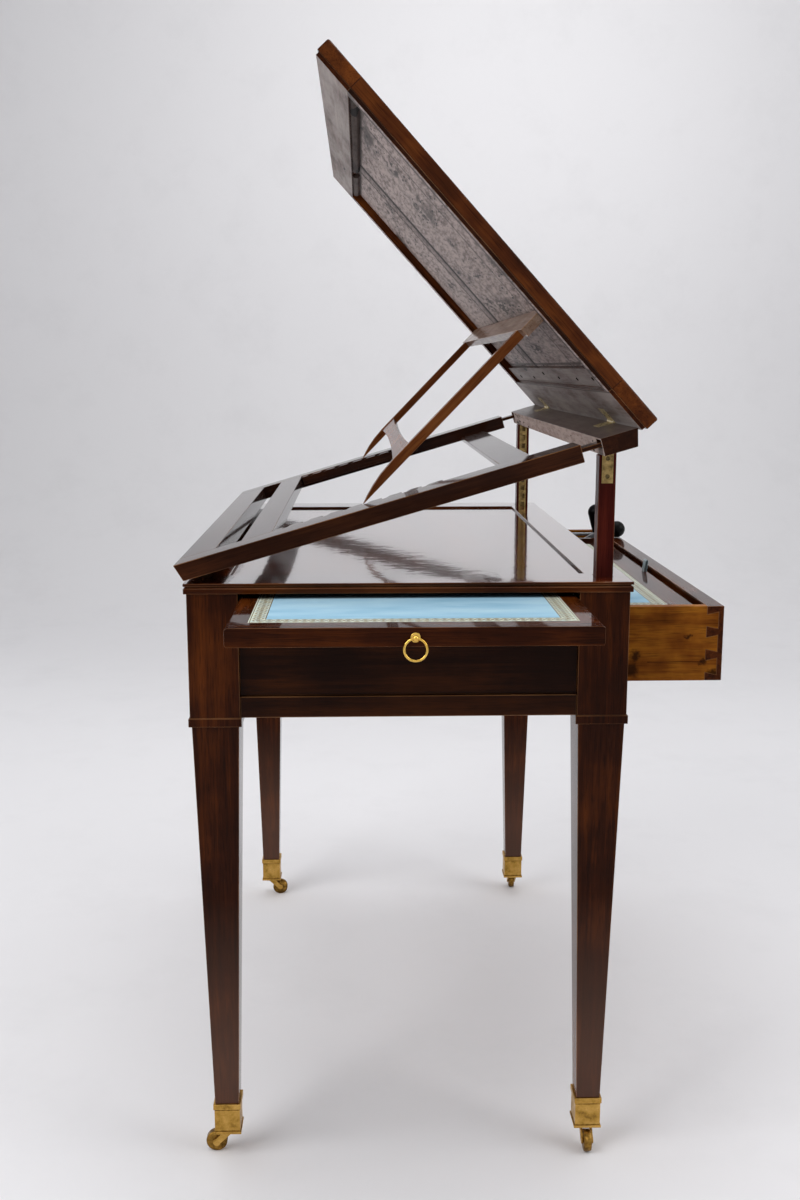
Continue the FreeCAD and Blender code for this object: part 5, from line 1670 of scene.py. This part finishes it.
@dataclass
class Studio:
    """Paper sweep, studio floor, lamps, sky and camera.

    Lengths are in metres, the lens and its sensor in millimetres, and angles in degrees.
    """

    paper_front: float = -6.0
    paper_back: float = 3.0
    paper_half: float = 6.0
    cove: float = 1.2
    cove_strips: int = 18
    height: float = 3.8
    floor_radius: float = 9.0
    floor_sides: int = 64
    floor_drop: float = 0.004
    air: float = 0.78
    air_colour: str = "#fbfcff"
    sky_range: tuple[float, float] = (-0.7, 0.3)
    sky_light: tuple[float, float] = (0.1, 0.8)
    lamps: tuple[Lamp, ...] = (
        Lamp("key", (-2.6, -1.6, 2.9), (0.0, 0.1, 0.6), 2.4, 70.0),
        Lamp("fill", (2.9, -1.0, 2.4), (0.0, 0.1, 0.6), 2.2, 40.0),
        Lamp("top", (0.2, 0.1, 3.6), (0.0, 0.1, 0.6), 2.6, 40.0),
        Lamp("backdrop_lamp", (0.6, 1.9, 2.6), (0.8, 4.2, 3.0), 1.8, 30.0))
    camera_place: tuple[float, float, float] = (-0.11302, -1.73605, 0.9568)
    camera_pitch: float = 79.516
    camera_yaw: float = -1.753
    lens: float = 37.89
    sensor: float = 36.0
    clip: tuple[float, float] = (0.05, 60.0)

    def build(self) -> None:
        """Set the stage, the lamps and the camera."""
        self.sweep()
        self.floor()
        self.sky()
        for lamp in self.lamps:
            lamp.hang()
        self.camera()

    def sweep(self) -> None:
        """Make the pale paper that the table stands on, curved up behind it."""
        shape = bmesh.new()
        ends = [shape.verts.new((way * self.paper_half, self.paper_front, 0)) for way in (-1, 1)]
        edges = pull(
            shape, [shape.edges.new(ends)], (0, self.paper_back - self.paper_front, 0))
        spun = bmesh.ops.spin(
            shape, geom=edges, cent=(0, self.paper_back, self.cove), axis=X_AXIS,
            angle=math.pi / 2, steps=self.cove_strips, use_merge=False)
        pull(shape, picked(spun["geom_last"], BMEdge), (0, 0, self.height - self.cove))
        bmesh.ops.remove_doubles(shape, verts=shape.verts[:], dist=MERGE)
        bmesh.ops.recalc_face_normals(shape, faces=shape.faces[:])
        finish_mesh(shape, "paper_sweep", (Backdrop("pale_studio_paper"),))

    def floor(self) -> None:
        """Make the pale floor round the paper."""
        shape = bmesh.new()
        bmesh.ops.create_circle(
            shape, cap_ends=True, segments=self.floor_sides, radius=self.floor_radius,
            matrix=Matrix.Translation((0, 0, -self.floor_drop)))
        finish_mesh(shape, "studio_floor", (Backdrop("pale_studio_floor"),))

    def sky(self) -> None:
        """Light the studio, dimmer from behind the camera, and show an even pale air all round."""
        world = bpy.data.worlds.new("studio_air")
        bpy.context.scene.world = world
        world.use_nodes = True
        add = partial(put, world.node_tree)
        axes = add("SeparateXYZ", (add("TexCoord").outputs["Generated"],))
        level = add("MapRange", (axes.outputs["Y"], *self.sky_range, *self.sky_light))
        rays = add("LightPath").outputs
        mirrored = add("Math", (
            rays["Is Glossy Ray"], rays["Is Transmission Ray"]), operation="MAXIMUM")
        shown = add("Math", (rays["Is Camera Ray"], mirrored), operation="MAXIMUM")
        strength = add("Mix", {0: shown, 2: level, 3: self.air}, data_type="FLOAT")
        wire(world.node_tree.nodes["Background"], {
            "Strength": strength, "Color": linear(self.air_colour)})

    def camera(self) -> None:
        """Place the camera as the photograph was taken."""
        lens = bpy.data.cameras.new("camera")
        lens.lens = self.lens
        lens.sensor_width = self.sensor
        lens.sensor_fit = "AUTO"
        lens.clip_start, lens.clip_end = self.clip
        camera = bpy.data.objects.new("camera", lens)
        camera.location = self.camera_place
        camera.rotation_euler = (
            math.radians(self.camera_pitch), 0.0, math.radians(self.camera_yaw))
        bpy.context.scene.collection.objects.link(camera)
        bpy.context.scene.camera = camera


def main() -> None:
    """Build the studio and every sub-assembly."""
    logging.basicConfig(level=logging.INFO, format="%(name)s: %(message)s")
    bpy.context.scene.view_settings.view_transform = "Standard"
    castors = [Castor(f"fork_{corner}", corner=corner) for corner in CORNERS]
    slides = [EndSlide(f"{end}_slide", end=end) for end in SIDES]
    for part in (
            Studio(), Carcass(), *castors, Lift(), TiltingFrame(), HingeBlock(), Board(), Prop(),
            Drawer(), WritingLeaf(), *slides):
        part.build()


if __name__ == "__main__":
    main()
